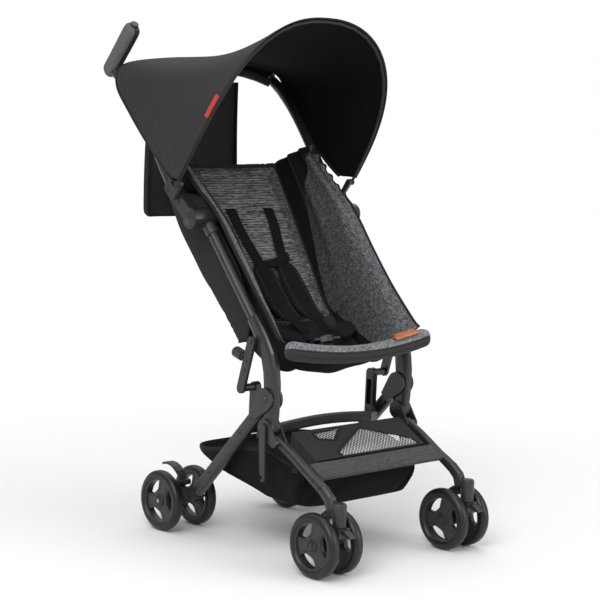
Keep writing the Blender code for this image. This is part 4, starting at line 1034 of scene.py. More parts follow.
def finish_for(node):
    best = ("plastic", "")
    for finish, stems in FRAME_FINISHES.items():
        for stem in stems:
            if node.startswith(stem) and len(stem) > len(best[1]):
                best = (finish, stem)
    return getattr(finishes(), best[0])


def fasteners(name, body, spots, finish, radius=0.0034, height=0.0014, recess=0.0015):
    """Heads at (y, z, x) on both sides of one body, facing outwards."""
    points = [(side * x, y, z) for side in SIDES.values() for y, z, x in spots]
    facing = [(side, 0, 0) for side in SIDES.values() for _ in spots]
    values = {"Head Radius": radius, "Head Height": height, "Recess Radius": recess, "Finish": finish}
    settle(grow(name, points, [], fastener_tree(), values, facing), body)


def hinge_disc(side):
    """The ringed cap on the outside of the handle hinge."""
    cap = lathe("cap", [(0.0192, -0.0010), (0.0192, 0.0004), (0.0182, 0.0012), (0.0168, 0.0014),
                        (0.0160, 0.0008), (0.0150, 0.0008), (0.0142, 0.0015), (0.0026, 0.0018),
                        (0.0020, 0.0008), (0.0004, 0.0008)], at(HINGE, side * HINGE_OUTER_X), (side, 0, 0),
                48, finishes().plastic)
    settle(cap, "push_handles")


def grip_piece(tag, side):
    f = finishes()
    x = side * PUSH_X
    count = 22
    route, scales = [], []
    low, high = -0.016, GRIP_LENGTH
    for i in range(count):
        t = mix(low, high, i / (count - 1))
        route.append(at(GRIP_BASE + GRIP_DIRECTION * t, x))
        near_low = min(1.0, (t - low) / 0.012)
        near_high = min(1.0, (high - t) / 0.010)
        grow_by = 0.60 + 0.40 * math.sin(math.pi / 2 * near_low)
        grow_by *= 0.68 + 0.32 * math.sin(math.pi / 2 * near_high)
        swell = 1 - 0.035 * math.sin(math.pi * min(1, max(0, t / GRIP_LENGTH)) * 2)
        scales.append((grow_by * swell, grow_by))
    body = sweep(f"grip_{tag}_dressed", route, superellipse(*GRIP_HALF, 36, 2.5), f.grip, scales=scales)
    seam = []
    for k in range(40):
        angle = 2 * math.pi * k / 40
        t = GRIP_LENGTH / 2 + math.cos(angle) * GRIP_LENGTH * 0.40
        depth = math.sin(angle) * GRIP_HALF[0] * 0.80
        lateral = math.sqrt(max(0.0, 1 - (abs(depth) / GRIP_HALF[0]) ** 2.3)) ** (2 / 2.3) * GRIP_HALF[1]
        ahead = Vector((-GRIP_DIRECTION.y, GRIP_DIRECTION.x))
        seam.append(at(GRIP_BASE + GRIP_DIRECTION * t + ahead * depth, x + side * (lateral - 0.0004)))
    line = ribbon(f"seam_{tag}", seam, None, superellipse(0.0006, 0.0006, 6), f.plastic, closed=True)
    settle(join(f"grip_{tag}_dressed", [body, line]), "push_handles", (f"grip_{tag}",))


# Name, body, places as (y, z, x), and the head's radius, height and recess
FASTENERS = (
    ("member_screws", "frame",
     ((-0.098, 0.405, 0.1862), (-0.1185, 0.352, 0.1862)), (0.0026, 0.0010, 0.0011)),
    ("sleeve_screws", "frame", ((0.050, 0.590, 0.1930),), (0.0024, 0.0012, 0.0010)),
    ("front_leg_rivets", "front_legs",
     ((-0.170, 0.2125, 0.1818), (-0.218, 0.1850, 0.1818), (-0.244, 0.1705, 0.1822),
      (-0.262, 0.1600, 0.1828)), (0.0028, 0.0012, 0.0012)),
    ("bar_rivets", "push_handles",
     ((0.330, 0.905, 0.1560), (0.333, 0.912, 0.1180)), (0.0028, 0.0012, 0.0012)),
)


class STROLLER_OT_frame(Operator):
    """Finish the frame's own parts and add their rivets, screws, caps and grips"""

    bl_idname = "stroller.frame"
    bl_label = "Frame"

    def execute(self, context):
        f = finishes()
        for name, node in frame["nodes"].items():
            node.data.materials.clear()
            node.data.materials.append(finish_for(name))
        for tag, side in SIDES.items():
            hinge_disc(side)
            grip_piece(tag, side)
        along = (REAR_LEG_FOOT - REAR_PIVOT).normalized()
        legs = [(*(REAR_PIVOT + along * d), 0.1872) for d in (0.060, 0.104, 0.232)]
        fasteners("rear_leg_rivets", "rear_legs", legs, f.gloss)
        fasteners("rear_pivot_caps", "rear_legs", [(*REAR_PIVOT, 0.1912)], f.plastic, 0.0090, 0.0022, 0.0028)
        for name, body, spots, size in FASTENERS:
            fasteners(name, body, spots, f.gloss, *size)
        return {"FINISHED"}


# Canopy

def eased(t):
    t = min(1.0, max(0.0, t))
    return t * t * (3 - 2 * t)


def hem_point(t):
    """The front hem, from the right tip at 0 over the crest to the left tip at 1."""
    angle = math.pi * t
    c, s = math.cos(angle), math.sin(angle)
    x = -CANOPY_HALF_WIDTH * math.copysign(abs(c) ** 0.862, c)
    height = CANOPY_HEIGHT * abs(s) ** 0.768
    y = CANOPY_PIVOT.x - height * math.sin(CANOPY_TILT) + CANOPY_BULGE * s**2
    return Vector((x, y, CANOPY_PIVOT.y + height * math.cos(CANOPY_TILT)))


def canopy_rows(columns, rows, first=0.012):
    """Rows of points from the rear edge to the front hem, each from the right tip to the left."""
    half = [Vector((-x, y, z)) for x, y, z in CANOPY_REAR]
    dense = 4 * columns
    rear = smooth_line(half + [Vector((-p.x, p.y, p.z)) for p in half[-2::-1]], dense)
    hem = smooth_line([hem_point(k / 64) for k in range(65)], dense)
    grid = []
    for i in range(rows):
        t = i / (rows - 1)
        row = []
        for j in range(columns):
            share = j / (columns - 1)
            k = mix(first, 1 - first, share) * (dense - 1)
            low, part = int(k), k - int(k)
            a, b = (line[low].lerp(line[min(low + 1, dense - 1)], part) for line in (rear, hem))
            crest = math.sin(math.pi * share)
            sag = -CANOPY_SAG * math.sin(math.pi * t**1.25) * crest**2
            pull = math.sin(math.pi * t) * (1 - crest) * 0.9
            fold = 0.0011 * math.sin(t * 15 + share * 4) * pull
            row.append(a.lerp(b, t) + Vector((math.copysign(fold, share - 0.5), 0, sag)))
        grid.append(row)
    return grid


def edge_ways(edge, inner):
    """For each point of an edge of cloth, the way its surface faces, found with a row further in."""
    last = len(edge) - 1
    return [(p - q).cross(edge[min(j + 1, last)] - edge[max(j - 1, 0)]).normalized()
            for j, (p, q) in enumerate(zip(edge, inner))]


def canopy_valance(rear, wall):
    """The short strip of cloth that hangs from the canopy's rear edge."""
    f = finishes()
    rows = []
    for i in range(9):
        drops = [i / 8 * eased((0.205 - abs(p.x)) / 0.02) for p in rear[8:-8]]
        rows.append([p + Vector((0, 0.0012 + 0.0100 * math.sin(drop * 1.5), -0.0240 * drop))
                     for p, drop in zip(rear[8:-8], drops)])
    return cloth_grid("canopy_valance", rows, wall, f.canopy, f.lining)


def canopy_seams(grid, centre, pitch):
    """Stitches beside the front hem, and two rows of them beside the rear one."""
    lines = []
    for share in (0.965, 0.035, 0.075):
        i = round(share * (len(grid) - 1))
        line = []
        for j in range(3, len(grid[0]) - 3):
            normal = (grid[i + 1][j] - grid[i - 1][j]).cross(grid[i][j + 1] - grid[i][j - 1]).normalized()
            if normal.dot(grid[i][j] - centre) < 0:
                normal = -normal
            line.append(grid[i][j] + normal * 0.0010)
        lines.append(line)
    return stitches("canopy_stitches", lines, finishes().thread, pitch, 0.0028, 0.00034)


def canopy_tab(grid, outward):
    """The plain side tab, sewn along the front hem."""
    spots, ways = [], []
    for k in range(11):
        j = round(mix(*TAB_SPAN, k / 10) * (len(outward) - 1))
        spots.append(grid[-1][j].lerp(grid[-3][j], 0.6) + outward[j] * 0.0022)
        ways.append(outward[j])
    return ribbon("canopy_tab", spots, ways, superellipse(0.0064, 0.0009, 12, 5.0), finishes().tab)


class STROLLER_OT_canopy(Operator):
    """Build the canopy's curved sheet with its binding, seams, stitches and side tab"""

    bl_idname = "stroller.canopy"
    bl_label = "Canopy"

    def execute(self, context):
        f = finishes()
        sizes = context.scene.stroller_sizes
        columns, rows = 121, 37
        grid = canopy_rows(columns, rows)
        above = grid[rows // 2][columns // 2] + Vector((0, 0, 1))
        sheet = cloth_grid("canopy_sheet", facing_towards(grid, above), sizes.canopy_wall, f.canopy, f.lining)
        centre = at(CANOPY_PIVOT, 0) + Vector((0, 0, 0.1))
        outward = [n if n.dot(p - centre) > 0 else -n
                   for n, p in zip(edge_ways(grid[-1], grid[-3]), grid[-1])]
        band = ribbon("canopy_hem", grid[-1], outward, superellipse(0.0032, 0.0010, 12, 3.0), f.canopy_edge)
        rear_band = ribbon("canopy_rear_hem", grid[0], edge_ways(grid[0], grid[2]),
                           superellipse(0.0036, 0.0015, 12, 3.0), f.binding)
        valance = canopy_valance(grid[0], sizes.canopy_wall)
        seams = canopy_seams(grid, centre, sizes.stitch_pitch)
        tab = canopy_tab(grid, outward)
        for piece in (sheet, seams):
            piece.data.transform(Matrix.Translation((0, -CENTRE_Y, 0)))
        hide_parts("canopy_fabric")
        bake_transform(sheet)
        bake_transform(seams)
        trim(band, "canopy")
        trim(rear_band, "push_handles")
        trim(tab, "canopy")
        trim(valance, "push_handles")
        return {"FINISHED"}


# Rear flap

FLAP_FOLD = 0.90
FLAP_WALL, SLEEVE_WALL = 0.0014, 0.0020


def flap_rows():
    """Rows of points down the flap: rippled, with its side edges turned back and low corners rounded."""
    rows, columns = 41, 45
    grid = []
    for i in range(rows):
        t = i / (rows - 1)
        corner = max(0.0, (t - 0.94) / 0.06)
        width = mix(0.1175, 0.1265, t) - 0.010 * (1 - math.sqrt(max(0.0, 1 - corner**2)))
        row = []
        for j in range(columns):
            s = mix(-1, 1, j / (columns - 1))
            turn = max(0.0, (abs(s) - FLAP_FOLD) / 0.10)
            x = math.copysign(width * min(1.0, abs(s) / FLAP_FOLD) - 0.004 * turn**2, s)
            ripple = 0.0022 * math.sin(s * 7 + 1.0) * t + 0.0014 * math.sin(s * 15 + t * 5) * t**2
            row.append(Vector((x, 0.350 + 0.004 * math.sin(math.pi * t) + ripple - 0.0095 * turn,
                               mix(0.898, 0.615, t))))
        grid.append(row)
    return grid


class STROLLER_OT_flap(Operator):
    """Hang the cloth flap behind the rear bar"""

    bl_idname = "stroller.flap"
    bl_label = "Rear flap"

    def execute(self, context):
        f = finishes()
        grid = flap_rows()
        flap = cloth_grid("rear_flap_cloth", grid, FLAP_WALL, f.outer)
        edge = [row[3] for row in grid] + grid[-1][4:-4] + [row[-4] for row in grid[::-1]]
        hem = ribbon("rear_flap_hem", edge, None, superellipse(0.0016, 0.0016, 8), f.binding)
        low, top = ([Vector((x, y, z)) for x in np.linspace(-0.086, 0.086, 21)]
                    for y, z in ((0.3490, 0.906), (0.3390, 0.918)))
        bowed = [p.lerp(q, 0.5) + Vector((0, 0.003, 0)) for p, q in zip(low, top)]
        tucked = [Vector((p.x, 0.3512, 0.894)) for p in low]
        loop = cloth_grid("rear_flap_sleeve", refined([tucked, low, bowed, top], 12, 41), SLEEVE_WALL,
                          f.outer)
        settle(flap, "push_handles", ("rear_flap",))
        trim(hem, "push_handles")
        trim(loop, "push_handles")
        return {"FINISHED"}


# Seat

SEAT_STEPS = 57
PANEL_END = 0.66
SPINE_LINE = smooth_line(SEAT_SPINE, SEAT_STEPS)
PANEL_LINE = smooth_line(SEAT_PANEL, SEAT_STEPS)
WING_LINE = smooth_line(SEAT_WING, SEAT_STEPS)
EDGE_LINE = smooth_line(SEAT_EDGE, SEAT_STEPS)


def along(line, t):
    """The point a share t down a line of points."""
    k = min(max(t, 0.0), 1.0) * (len(line) - 1)
    low = min(int(k), len(line) - 2)
    return line[low].lerp(line[low + 1], k - low)


def panel_front(t):
    """The way the middle panel faces at a share t down it."""
    ahead = (along(SPINE_LINE, t + 0.02) - along(SPINE_LINE, t - 0.02)).normalized()
    return Vector((0, ahead.z, -ahead.y))


def panel_point(t, x, lift=0.0):
    """A point of the middle panel at a distance x from its middle, lifted off its front."""
    side = along(PANEL_LINE, t)
    spot = along(SPINE_LINE, t).lerp(side, min(1.0, abs(x) / side.x) ** 1.6)
    return Vector((x, spot.y, spot.z)) + panel_front(t) * lift


def cloth_fill(made, pressure, cap, steps):
    """Runs the cloth simulation that fills a closed pad, no point moving further than the cap."""
    rest = np.array([v.co[:] for v in made.data.vertices])
    cloth = made.modifiers.new("Fill", "CLOTH")
    cloth.settings.use_pressure = True
    cloth.settings.uniform_pressure_force = pressure
    cloth.settings.quality = 4
    cloth.settings.mass = 0.2
    cloth.settings.effector_weights.gravity = 0
    cloth.point_cache.frame_start = 1
    cloth.point_cache.frame_end = steps
    for step in range(1, steps + 1):
        bpy.context.scene.frame_set(step)
    graph = bpy.context.evaluated_depsgraph_get()
    filled = made.evaluated_get(graph).data
    moved = np.array([v.co[:] for v in filled.vertices]) - rest
    moved -= moved.mean(axis=0)
    length = np.linalg.norm(moved, axis=1, keepdims=True)
    moved *= np.minimum(1.0, cap / np.maximum(length, 1e-9))
    made.modifiers.clear()
    made.data.vertices.foreach_set("co", (rest + moved).ravel())
    bpy.context.scene.frame_set(1)
    return made


def puff(made, voxel, pressure, cap, steps):
    """Evens out a closed pad's mesh, fills it and rounds it once."""
    remesh = made.modifiers.new("Even", "REMESH")
    remesh.mode = "VOXEL"
    remesh.voxel_size = voxel
    return soften(cloth_fill(apply_all(made), pressure, cap, steps))


def closed_pad(name, front, back, *finishes):
    """A closed pad from two grids of points that share their outline, front first."""
    rows, columns = len(front), len(front[0])
    size = rows * columns
    points = [p for row in front for p in row] + [p for row in back for p in row]
    faces = []
    for i in range(rows - 1):
        for j in range(columns - 1):
            a = i * columns + j
            quad = (a, a + 1, a + columns + 1, a + columns)
            faces += [quad, tuple(size + k for k in quad[::-1])]
    rim = list(range(columns)) + [i * columns + columns - 1 for i in range(1, rows)]
    rim += [(rows - 1) * columns + j for j in range(columns - 2, -1, -1)]
    rim += [i * columns for i in range(rows - 2, 0, -1)]
    faces += [(a, b, size + b, size + a) for a, b in zip(rim, rim[1:] + rim[:1])]
    return mesh_object(name, points, faces, *finishes)


RIB_PITCH, RIB_HEIGHT = 0.0062, 0.0011
RIB_HALF = 0.088
CROSS_SEAM = 0.121
SEWN_LINES = (0.0900, 0.1030)
PAD_ROWS, PAD_COLUMNS = 49, 37


def pad_half(t):
    """Half the width of the backrest's pad at a share t down the seat."""
    return mix(0.1330, 0.1180, min(1.0, t / PANEL_END))


def backrest_front(steps):
    """Rows of points over the filled front of the backrest, after the cloth simulation."""
    front, back = [], []
    for i in range(PAD_ROWS):
        t = mix(-0.004, PANEL_END, i / (PAD_ROWS - 1))
        half = pad_half(t)
        rows = [], []
        for j in range(PAD_COLUMNS):
            x = mix(-half, half, j / (PAD_COLUMNS - 1))
            edge = min(1.0, min(i, PAD_ROWS - 1 - i, j, PAD_COLUMNS - 1 - j) / 2)
            rows[0].append(panel_point(t, x, 0.0010 + 0.0026 * edge))
            rows[1].append(panel_point(t, x, -0.0010 - 0.0016 * edge))
        front.append(rows[0])
        back.append(rows[1])
    pad = cloth_fill(closed_pad("backrest_filled", front, back, finishes().quilt), 3.0, 0.0050, steps)
    spots = [v.co.copy() for v in pad.data.vertices]
    size = PAD_ROWS * PAD_COLUMNS
    bpy.data.objects.remove(pad)
    return tuple([[spots[first + i * PAD_COLUMNS + j] for j in range(PAD_COLUMNS)] for i in range(PAD_ROWS)]
                 for first in (0, size))


def refined(grid, rows, columns):
    """The same surface with more rows and columns, along smooth curves."""
    wide = [smooth_line(row, columns) for row in grid]
    lines = [smooth_line([row[j] for row in wide], rows) for j in range(columns)]
    return [[lines[j][i] for j in range(columns)] for i in range(rows)]


def backrest_pad(steps):
    """The ribbed middle panel of the backrest, filled and sewn along its borders."""
    f = finishes()
    front, back = backrest_front(steps)
    rows, columns = 241, 73
    front = refined(front, rows, columns)
    back = refined(back, rows, columns)
    middle = columns // 2
    down = [0.0]
    for i in range(1, rows):
        down.append(down[-1] + (front[i][middle] - front[i - 1][middle]).length)
    shaped, heights = [], []
    for i in range(rows):
        row = []
        for j in range(columns):
            before, after = front[max(i - 1, 0)][j], front[min(i + 1, rows - 1)][j]
            left, right = front[i][max(j - 1, 0)], front[i][min(j + 1, columns - 1)]
            normal = (right - left).cross(after - before).normalized()
            if normal.dot(panel_front(i / (rows - 1) * PANEL_END)) < 0:
                normal = -normal
            x = abs(front[i][j].x)
            inside = min(1.0, max(0.0, (RIB_HALF - x) / 0.002))
            inside *= min(1.0, max(0.0, (down[i] - 0.016) / 0.003))
            inside *= min(1.0, abs(down[i] - CROSS_SEAM) / 0.003)
            rounded = abs(math.sin(math.pi * down[i] / RIB_PITCH)) ** 0.7
            rib = RIB_HEIGHT * rounded * inside
            heights.append(mix(0.5, rounded, inside))
            dip = sum(math.exp(-(((x - line) / 0.0022) ** 2)) for line in SEWN_LINES)
            dip += math.exp(-(((down[i] - CROSS_SEAM) / 0.0026) ** 2)) * (x < RIB_HALF)
            row.append(front[i][j] + normal * (rib - 0.0022 * min(1.0, dip)))
        shaped.append(row)
    pad = closed_pad("backrest_pad", shaped, back, f.quilt)
    # from these rib heights the quilt's finish paints shade in the grooves and highlight on the rib tops
    add_mask(pad, "rib_height", heights + [0.5] * len(heights))
    settle(pad, "frame", ("seat_sling",))
    return shaped, down


WING_REACH = 1.10
WING_PLACE = 0.42
GATHER_PITCH = 0.060


def slack_wave(t, share):
    """Where the wing's slack folds rise, at 1, and fall, at -1."""
    return math.sin(share * 22.0 - t * 9.0 + 0.9)


def wing_fold(t, share, side):
    """How far the wing's cloth stands out of its plane: slack folds, deepest near the top."""
    loose = 0.0085 if side > 0 else 0.0045
    top = math.exp(-((t / 0.40) ** 2))
    across = math.sin(math.pi * min(1.0, share)) ** 0.7
    fold = loose * slack_wave(t, share) * top * across
    gather = 0.0050 * math.sin(2 * math.pi * t / GATHER_PITCH + share * 6) * math.exp(-share / 0.16)
    gather *= math.exp(-((t / 0.20) ** 2)) * min(1.0, share / 0.03)
    slow = 0.0045 * math.sin(share * 7.0 + t * 9.0 + side) * math.exp(-(((t - 0.45) / 0.22) ** 2)) * across
    return fold + gather + slow


def black_cloth_and_shade_from(t, side):
    """The share across a wing from which its cloth is black: plain black cloth at the top beside the
    backrest, painted shade in a narrow strip beside it further down and, on the right wing, painted shade
    from 0.35 in.
    """
    limit = min(1 - 0.92 * math.exp(-t / 0.17), 1 - 0.12 * eased((t - 0.50) / 0.36))
    # on the right wing the black from 0.35 in is painted shade, not cloth
    return limit if side > 0 else min(limit, 0.35)


def painted_shade_at(t, share):
    """How much darker the wing's cloth is painted, as painted shade where it dips towards the backrest and in
    the valleys of its folds.
    """
    deep = 0.52 * eased((share - 0.30) / 0.55) * (1 - 0.4 * eased((t - 0.75) / 0.2))
    valley = max(0.0, slack_wave(t, share)) ** 3 * math.exp(-((t / 0.42) ** 2))
    return min(0.88, max(0.0, deep + 0.55 * valley * min(1.0, share / 0.2)))


def wing_grid(side, rows, columns):
    """Points of one wing from the main tube to behind the pad, how black each is, partly as painted shade,
    and how much painted shade darkens each.
    """
    grid, black, painted_shade = [], [], []
    for i in range(rows):
        t = i / (rows - 1)
        edge, wing, panel = along(EDGE_LINE, t), along(WING_LINE, t), along(PANEL_LINE, t)
        inner = Vector((pad_half(t) if t < PANEL_END else panel.x, panel.y, panel.z))
        row, shade, dark = [], [], []
        for j in range(columns):
            share = WING_REACH * j / (columns - 1)
            if share < WING_PLACE:
                spot = edge.lerp(wing, share / WING_PLACE)
            else:
                spot = wing.lerp(inner, (share - WING_PLACE) / (1 - WING_PLACE))
            spot = Vector(spot)
            tucked = max(0.0, (share - 0.92) / (WING_REACH - 0.92))
            spot -= panel_front(t) * 0.0050 * tucked
            lean = wing_fold(t, share, side)
            spot.x -= lean
            spot.y -= lean * 0.4
            scallop = abs(math.sin(math.pi * t / GATHER_PITCH))
            scallop *= math.exp(-((t / 0.24) ** 2)) * math.exp(-share / 0.08)
            spot += Vector((-0.0080, 0.0054, -0.0054)) * scallop
            row.append(Vector((spot.x * side, spot.y, spot.z)))
            # black cloth, partly painted shade
            shade.append(min(1.0, max(0.0, (share - black_cloth_and_shade_from(t, side)) / 0.03 + 0.5)))
            # painted shade: how much darker the cloth is where the wing dips and in its fold valleys
            dark.append(painted_shade_at(t, share))
        grid.append(row)
        black.append(shade)
        painted_shade.append(dark)
    return grid, black, painted_shade


def seat_side(tag, side):
    """One wing with the seat's side: melange towards the edge, plain black cloth beside the backrest, and
    painted shade as black and as darker cloth.
    """
    f = finishes()
    grid, black, painted_shade = wing_grid(side, 181, 61)
    if looks_away(grid, (0, -0.3, 0.6)):
        grid, black, painted_shade = ([row[::-1] for row in table] for table in (grid, black, painted_shade))
    made = cloth_grid(f"seat_wing_{tag}", grid, bpy.context.scene.stroller_sizes.seat_wall, f.wing, f.plain,
                      masks={"black_cloth_and_shade": black, "painted_shade": painted_shade})
    settle(made, "frame", ("seat_sling",))
    edge = 0 if abs(grid[5][0].x) > abs(grid[5][-1].x) else -1
    side_edge = [row[edge] for row in grid]
    hem = ribbon(f"seat_wing_binding_{tag}", side_edge, None, superellipse(0.0034, 0.0026, 12, 2.4),
                 f.binding)
    top_hem = ribbon(f"seat_wing_top_{tag}", grid[0], None, superellipse(0.0030, 0.0022, 12, 2.4), f.binding)
    trim(hem)
    trim(top_hem)


def seat_base():
    """The seat's bottom, from the backrest's foot to the front edge."""
    f = finishes()
    rows, columns = 61, 61
    grid = []
    for i in range(rows):
        t = mix(PANEL_END - 0.03, 1.0, i / (rows - 1))
        row = []
        for j in range(columns):
            x = mix(-PANEL_HALF, PANEL_HALF, j / (columns - 1))
            wrinkle = 0.0022 * math.sin(x * 60 + 0.8) * math.sin(t * 34)
            wrinkle += 0.0016 * math.sin(x * 25 + t * 55)
            row.append(panel_point(t, x, wrinkle - 0.0012))
        grid.append(row)
    grid = facing_towards(grid, (0, 0, 0.7))
    made = cloth_grid("seat_base", grid, SEAT_BASE_WALL, f.outer, f.plain)
    settle(made, "frame", ("seat_sling",))


LIP_REACH = 0.188


def lip_line(x):
    """The middle of the lip's roll at a distance x from the seat's middle."""
    across = 1 - (x / LIP_REACH) ** 2
    return Vector((x, -0.1735 - 0.0040 * across, 0.4040 - 0.0185 * across))


def seat_lip(steps):
    """The padded roll along the seat's front edge, melange on top and plain cloth in front and below."""
    f = finishes()
    route, scales = [], []
    for i in range(49):
        x = mix(-LIP_REACH, LIP_REACH, i / 48)
        route.append(lip_line(x))
        end = min(1.0, (LIP_REACH - abs(x)) / 0.016)
        taper = 0.55 + 0.43 * math.sqrt(max(0.0, 1 - (1 - end) ** 2))
        scales.append((taper, taper))
    lip = sweep("seat_lip_pad", route, superellipse(0.0190, 0.0150, 24, 3.0), f.lip, across=(0, 1, 0),
                scales=scales)
    puff(lip, 0.005, 3.5, 0.0030, steps)
    offsets = [v.co - lip_line(v.co.x) for v in lip.data.vertices]
    add_mask(lip, "black_cloth_and_shade", np.clip([0.5 + (0.0030 - p.z - 0.22 * p.y) / 0.003 for p in offsets], 0, 1))
    tree = surface_of(lip)
    settle(lip, "frame", ("seat_lip",))
    rims = []
    for name, dy, dz, radius in (("crease", -0.0210, 0.0052, 0.0011), ("fold", -0.0200, -0.0075, 0.0009)):
        line = [lip_line(mix(-LIP_REACH + 0.010, LIP_REACH - 0.010, i / 80)) + Vector((0, dy, dz))
                for i in range(81)]
        spots, _ = laid_on(tree, line, 0.0002)
        rims.append(ribbon(f"seat_lip_{name}", spots, None, superellipse(radius, radius, 8), f.outer_solid))
    trim(join("seat_lip_piping", rims))
    leather_tag(tree)


def leather_tag(tree):
    """The plain leather tag: a loop folded over the lip near the left end."""
    f = finishes()
    layers = []
    for low, high, front, back, lift in ((0.084, 0.146, -0.0140, 0.0030, 0.0016),
                                         (0.094, 0.150, 0.0000, 0.0150, 0.0034)):
        rows = []
        for k in range(9):
            y = mix(back, front, k / 8)
            line = [lip_line(mix(low, high, i / 20)) + Vector((0, y, 0.030)) for i in range(21)]
            spots, _ = laid_on(tree, line, lift)
            bow = 0.0012 * math.sin(math.pi * k / 8)
            rows.append([Vector((q.x, q.y, p.z + bow)) for p, q in zip(spots, line)])
        layers.append(cloth_grid("lip_tag", facing_towards(refined(rows, 13, 33), (0.1, -0.2, 1.0)),
                                 LEATHER_WALL, f.leather))
    settle(join("lip_tag", layers), "frame")


def seat_seams(shaped, down):
    """Stitches along the panel's sewn lines and a black binding over the backrest's top and sides."""
    f = finishes()
    sizes = bpy.context.scene.stroller_sizes
    rows, columns = len(shaped), len(shaped[0])
    lines = []
    for place in SEWN_LINES:
        for side in (-1, 1):
            line = []
            for i in range(6, rows - 6, 3):
                j = round((side * place / abs(shaped[i][0].x) + 1) / 2 * (columns - 1))
                line.append(shaped[i][j] + panel_front(i / (rows - 1) * PANEL_END) * 0.0004)
            lines.append(line)
    cross = min(range(rows), key=lambda i: abs(down[i] - CROSS_SEAM))
    lines.append([shaped[cross][j] + panel_front(0.15) * 0.0004 for j in range(12, columns - 12)])
    sewn = stitches("backrest_stitches", lines, f.thread, sizes.stitch_pitch, 0.0028, 0.00036)
    trim(sewn)
    top = [shaped[2][j] for j in range(1, columns - 1)]
    facing = [panel_front(0.0)] * len(top)
    band = ribbon("backrest_top_binding", top, facing, superellipse(0.0062, 0.0030, 14, 2.6), f.binding)
    trim(band)
    for tag, j in (("r", 1), ("l", columns - 2)):
        edge = [shaped[i][j] for i in range(2, rows, 2)]
        facing = [panel_front(i / (rows - 1) * PANEL_END) for i in range(2, rows, 2)]
        piping = ribbon(f"backrest_piping_{tag}", edge, facing, superellipse(0.0030, 0.0026, 12, 2.4),
                        f.binding)
        trim(piping)


def rear_cover():
    """The plain outer cloth from one main tube round the back to the other."""
    f = finishes()
    rows = 61
    front, corner, back = (smooth_line(line, rows) for line in (COVER_FRONT, COVER_CORNER, COVER_BACK))
    grid = []
    for i in range(rows):
        keys = [front[i], front[i].lerp(corner[i], 0.5), corner[i],
                corner[i].lerp(back[i], 0.12) + Vector((0, 0.006, 0)),
                corner[i].lerp(back[i], 0.55) + Vector((0, 0.003, 0)), back[i]]
        half = smooth_line(keys, 25)
        t = i / (rows - 1)
        for j, p in enumerate(half):
            slack = math.sin(math.pi * j / 24)
            p.x -= 0.0016 * math.sin(t * 11 + j * 0.5) * slack
            p.y += 0.0012 * math.sin(t * 17 + j * 0.35) * slack
        grid.append([Vector((-p.x, p.y, p.z)) for p in half] + half[-2::-1])
    made = cloth_grid("rear_cover_cloth", grid, REAR_COVER_WALL, f.outer)
    settle(made, "frame", ("rear_cover",))
    top, low = (trim(ribbon(name, grid[row], None, superellipse(half, 0.0018, 10, 2.4), f.binding))
                for name, row, half in (("rear_cover_hem", 0, 0.0030), ("rear_cover_foot_hem", -1, 0.0026)))


class STROLLER_OT_seat(Operator):
    """Build the backrest pad, wings, seat bottom, padded lip, tag and rear cover"""

    bl_idname = "stroller.seat"
    bl_label = "Seat"

    def execute(self, context):
        steps = context.scene.stroller_sizes.pad_steps
        shaped, down = backrest_pad(steps)
        for tag, side in SIDES.items():
            seat_side(tag, side)
        seat_base()
        seat_lip(steps)
        seat_seams(shaped, down)
        rear_cover()
        return {"FINISHED"}


# Harness

# Half distance between the straps, row out of 28 down the seat, and height over the panel
STRAP_ROWS = 28
STRAP_KEYS = ((0.050, 5.5, 0.0125), (0.048, 7.5, 0.0125), (0.041, 9.5, 0.0130), (0.0335, 11.5, 0.0160),
              (0.0315, 13.5, 0.0200))
PAD_WIDTHS = (0.62, 0.92, 1.0, 1.06, 1.08, 1.06, 1.02, 0.97, 0.90, 0.80)
YOKE_ROW = 11.9


def strap_route(side):
    """From the slot in the backrest, down over the panel, to the buckle."""
    route = [panel_point(row / STRAP_ROWS, side * x, lift) for x, row, lift in STRAP_KEYS]
    return route + [Vector((side * 0.0310, 0.0180, 0.4530)), Vector((side * 0.0295, -0.0220, 0.4300)),
                    Vector((side * 0.0285, -0.0520, 0.4120))]


def ways_along(line):
    """For each point of a line down the seat: the way across it and the way out of it."""
    last = len(line) - 1
    ways = []
    for i in range(last + 1):
        ahead = (line[min(i + 1, last)] - line[max(i - 1, 0)]).normalized()
        out = Vector((0, ahead.z, -ahead.y)).normalized()
        ways.append((ahead.cross(out).normalized(), out))
    return ways


def soft_strip(name, line, ways, half, thick, finish, widths=None, count=24, ends=3):
    """A filled strip round a line: rounded ends, and a width that changes along it."""
    last = len(line) - 1
    section = superellipse(half, thick, count, 2.8)
    points = []
    for i, p in enumerate(line):
        end = min(1.0, min(i, last - i) / ends)
        grow_by = math.sqrt(max(0.03, 1 - (1 - end) ** 2))
        k = i / last * (len(widths) - 1) if widths else 0
        wide = mix(widths[int(k)], widths[min(int(k) + 1, len(widths) - 1)], k - int(k)) if widths else 1.0
        swell = 1 + 0.10 * math.sin(i * 0.9)
        points += [p + ways[i][0] * a * wide * mix(0.84, 1.0, grow_by) + ways[i][1] * (b * grow_by * swell)
                   for a, b in section]
    return soften(mesh_object(name, points, tube_faces(len(line), count), finish))


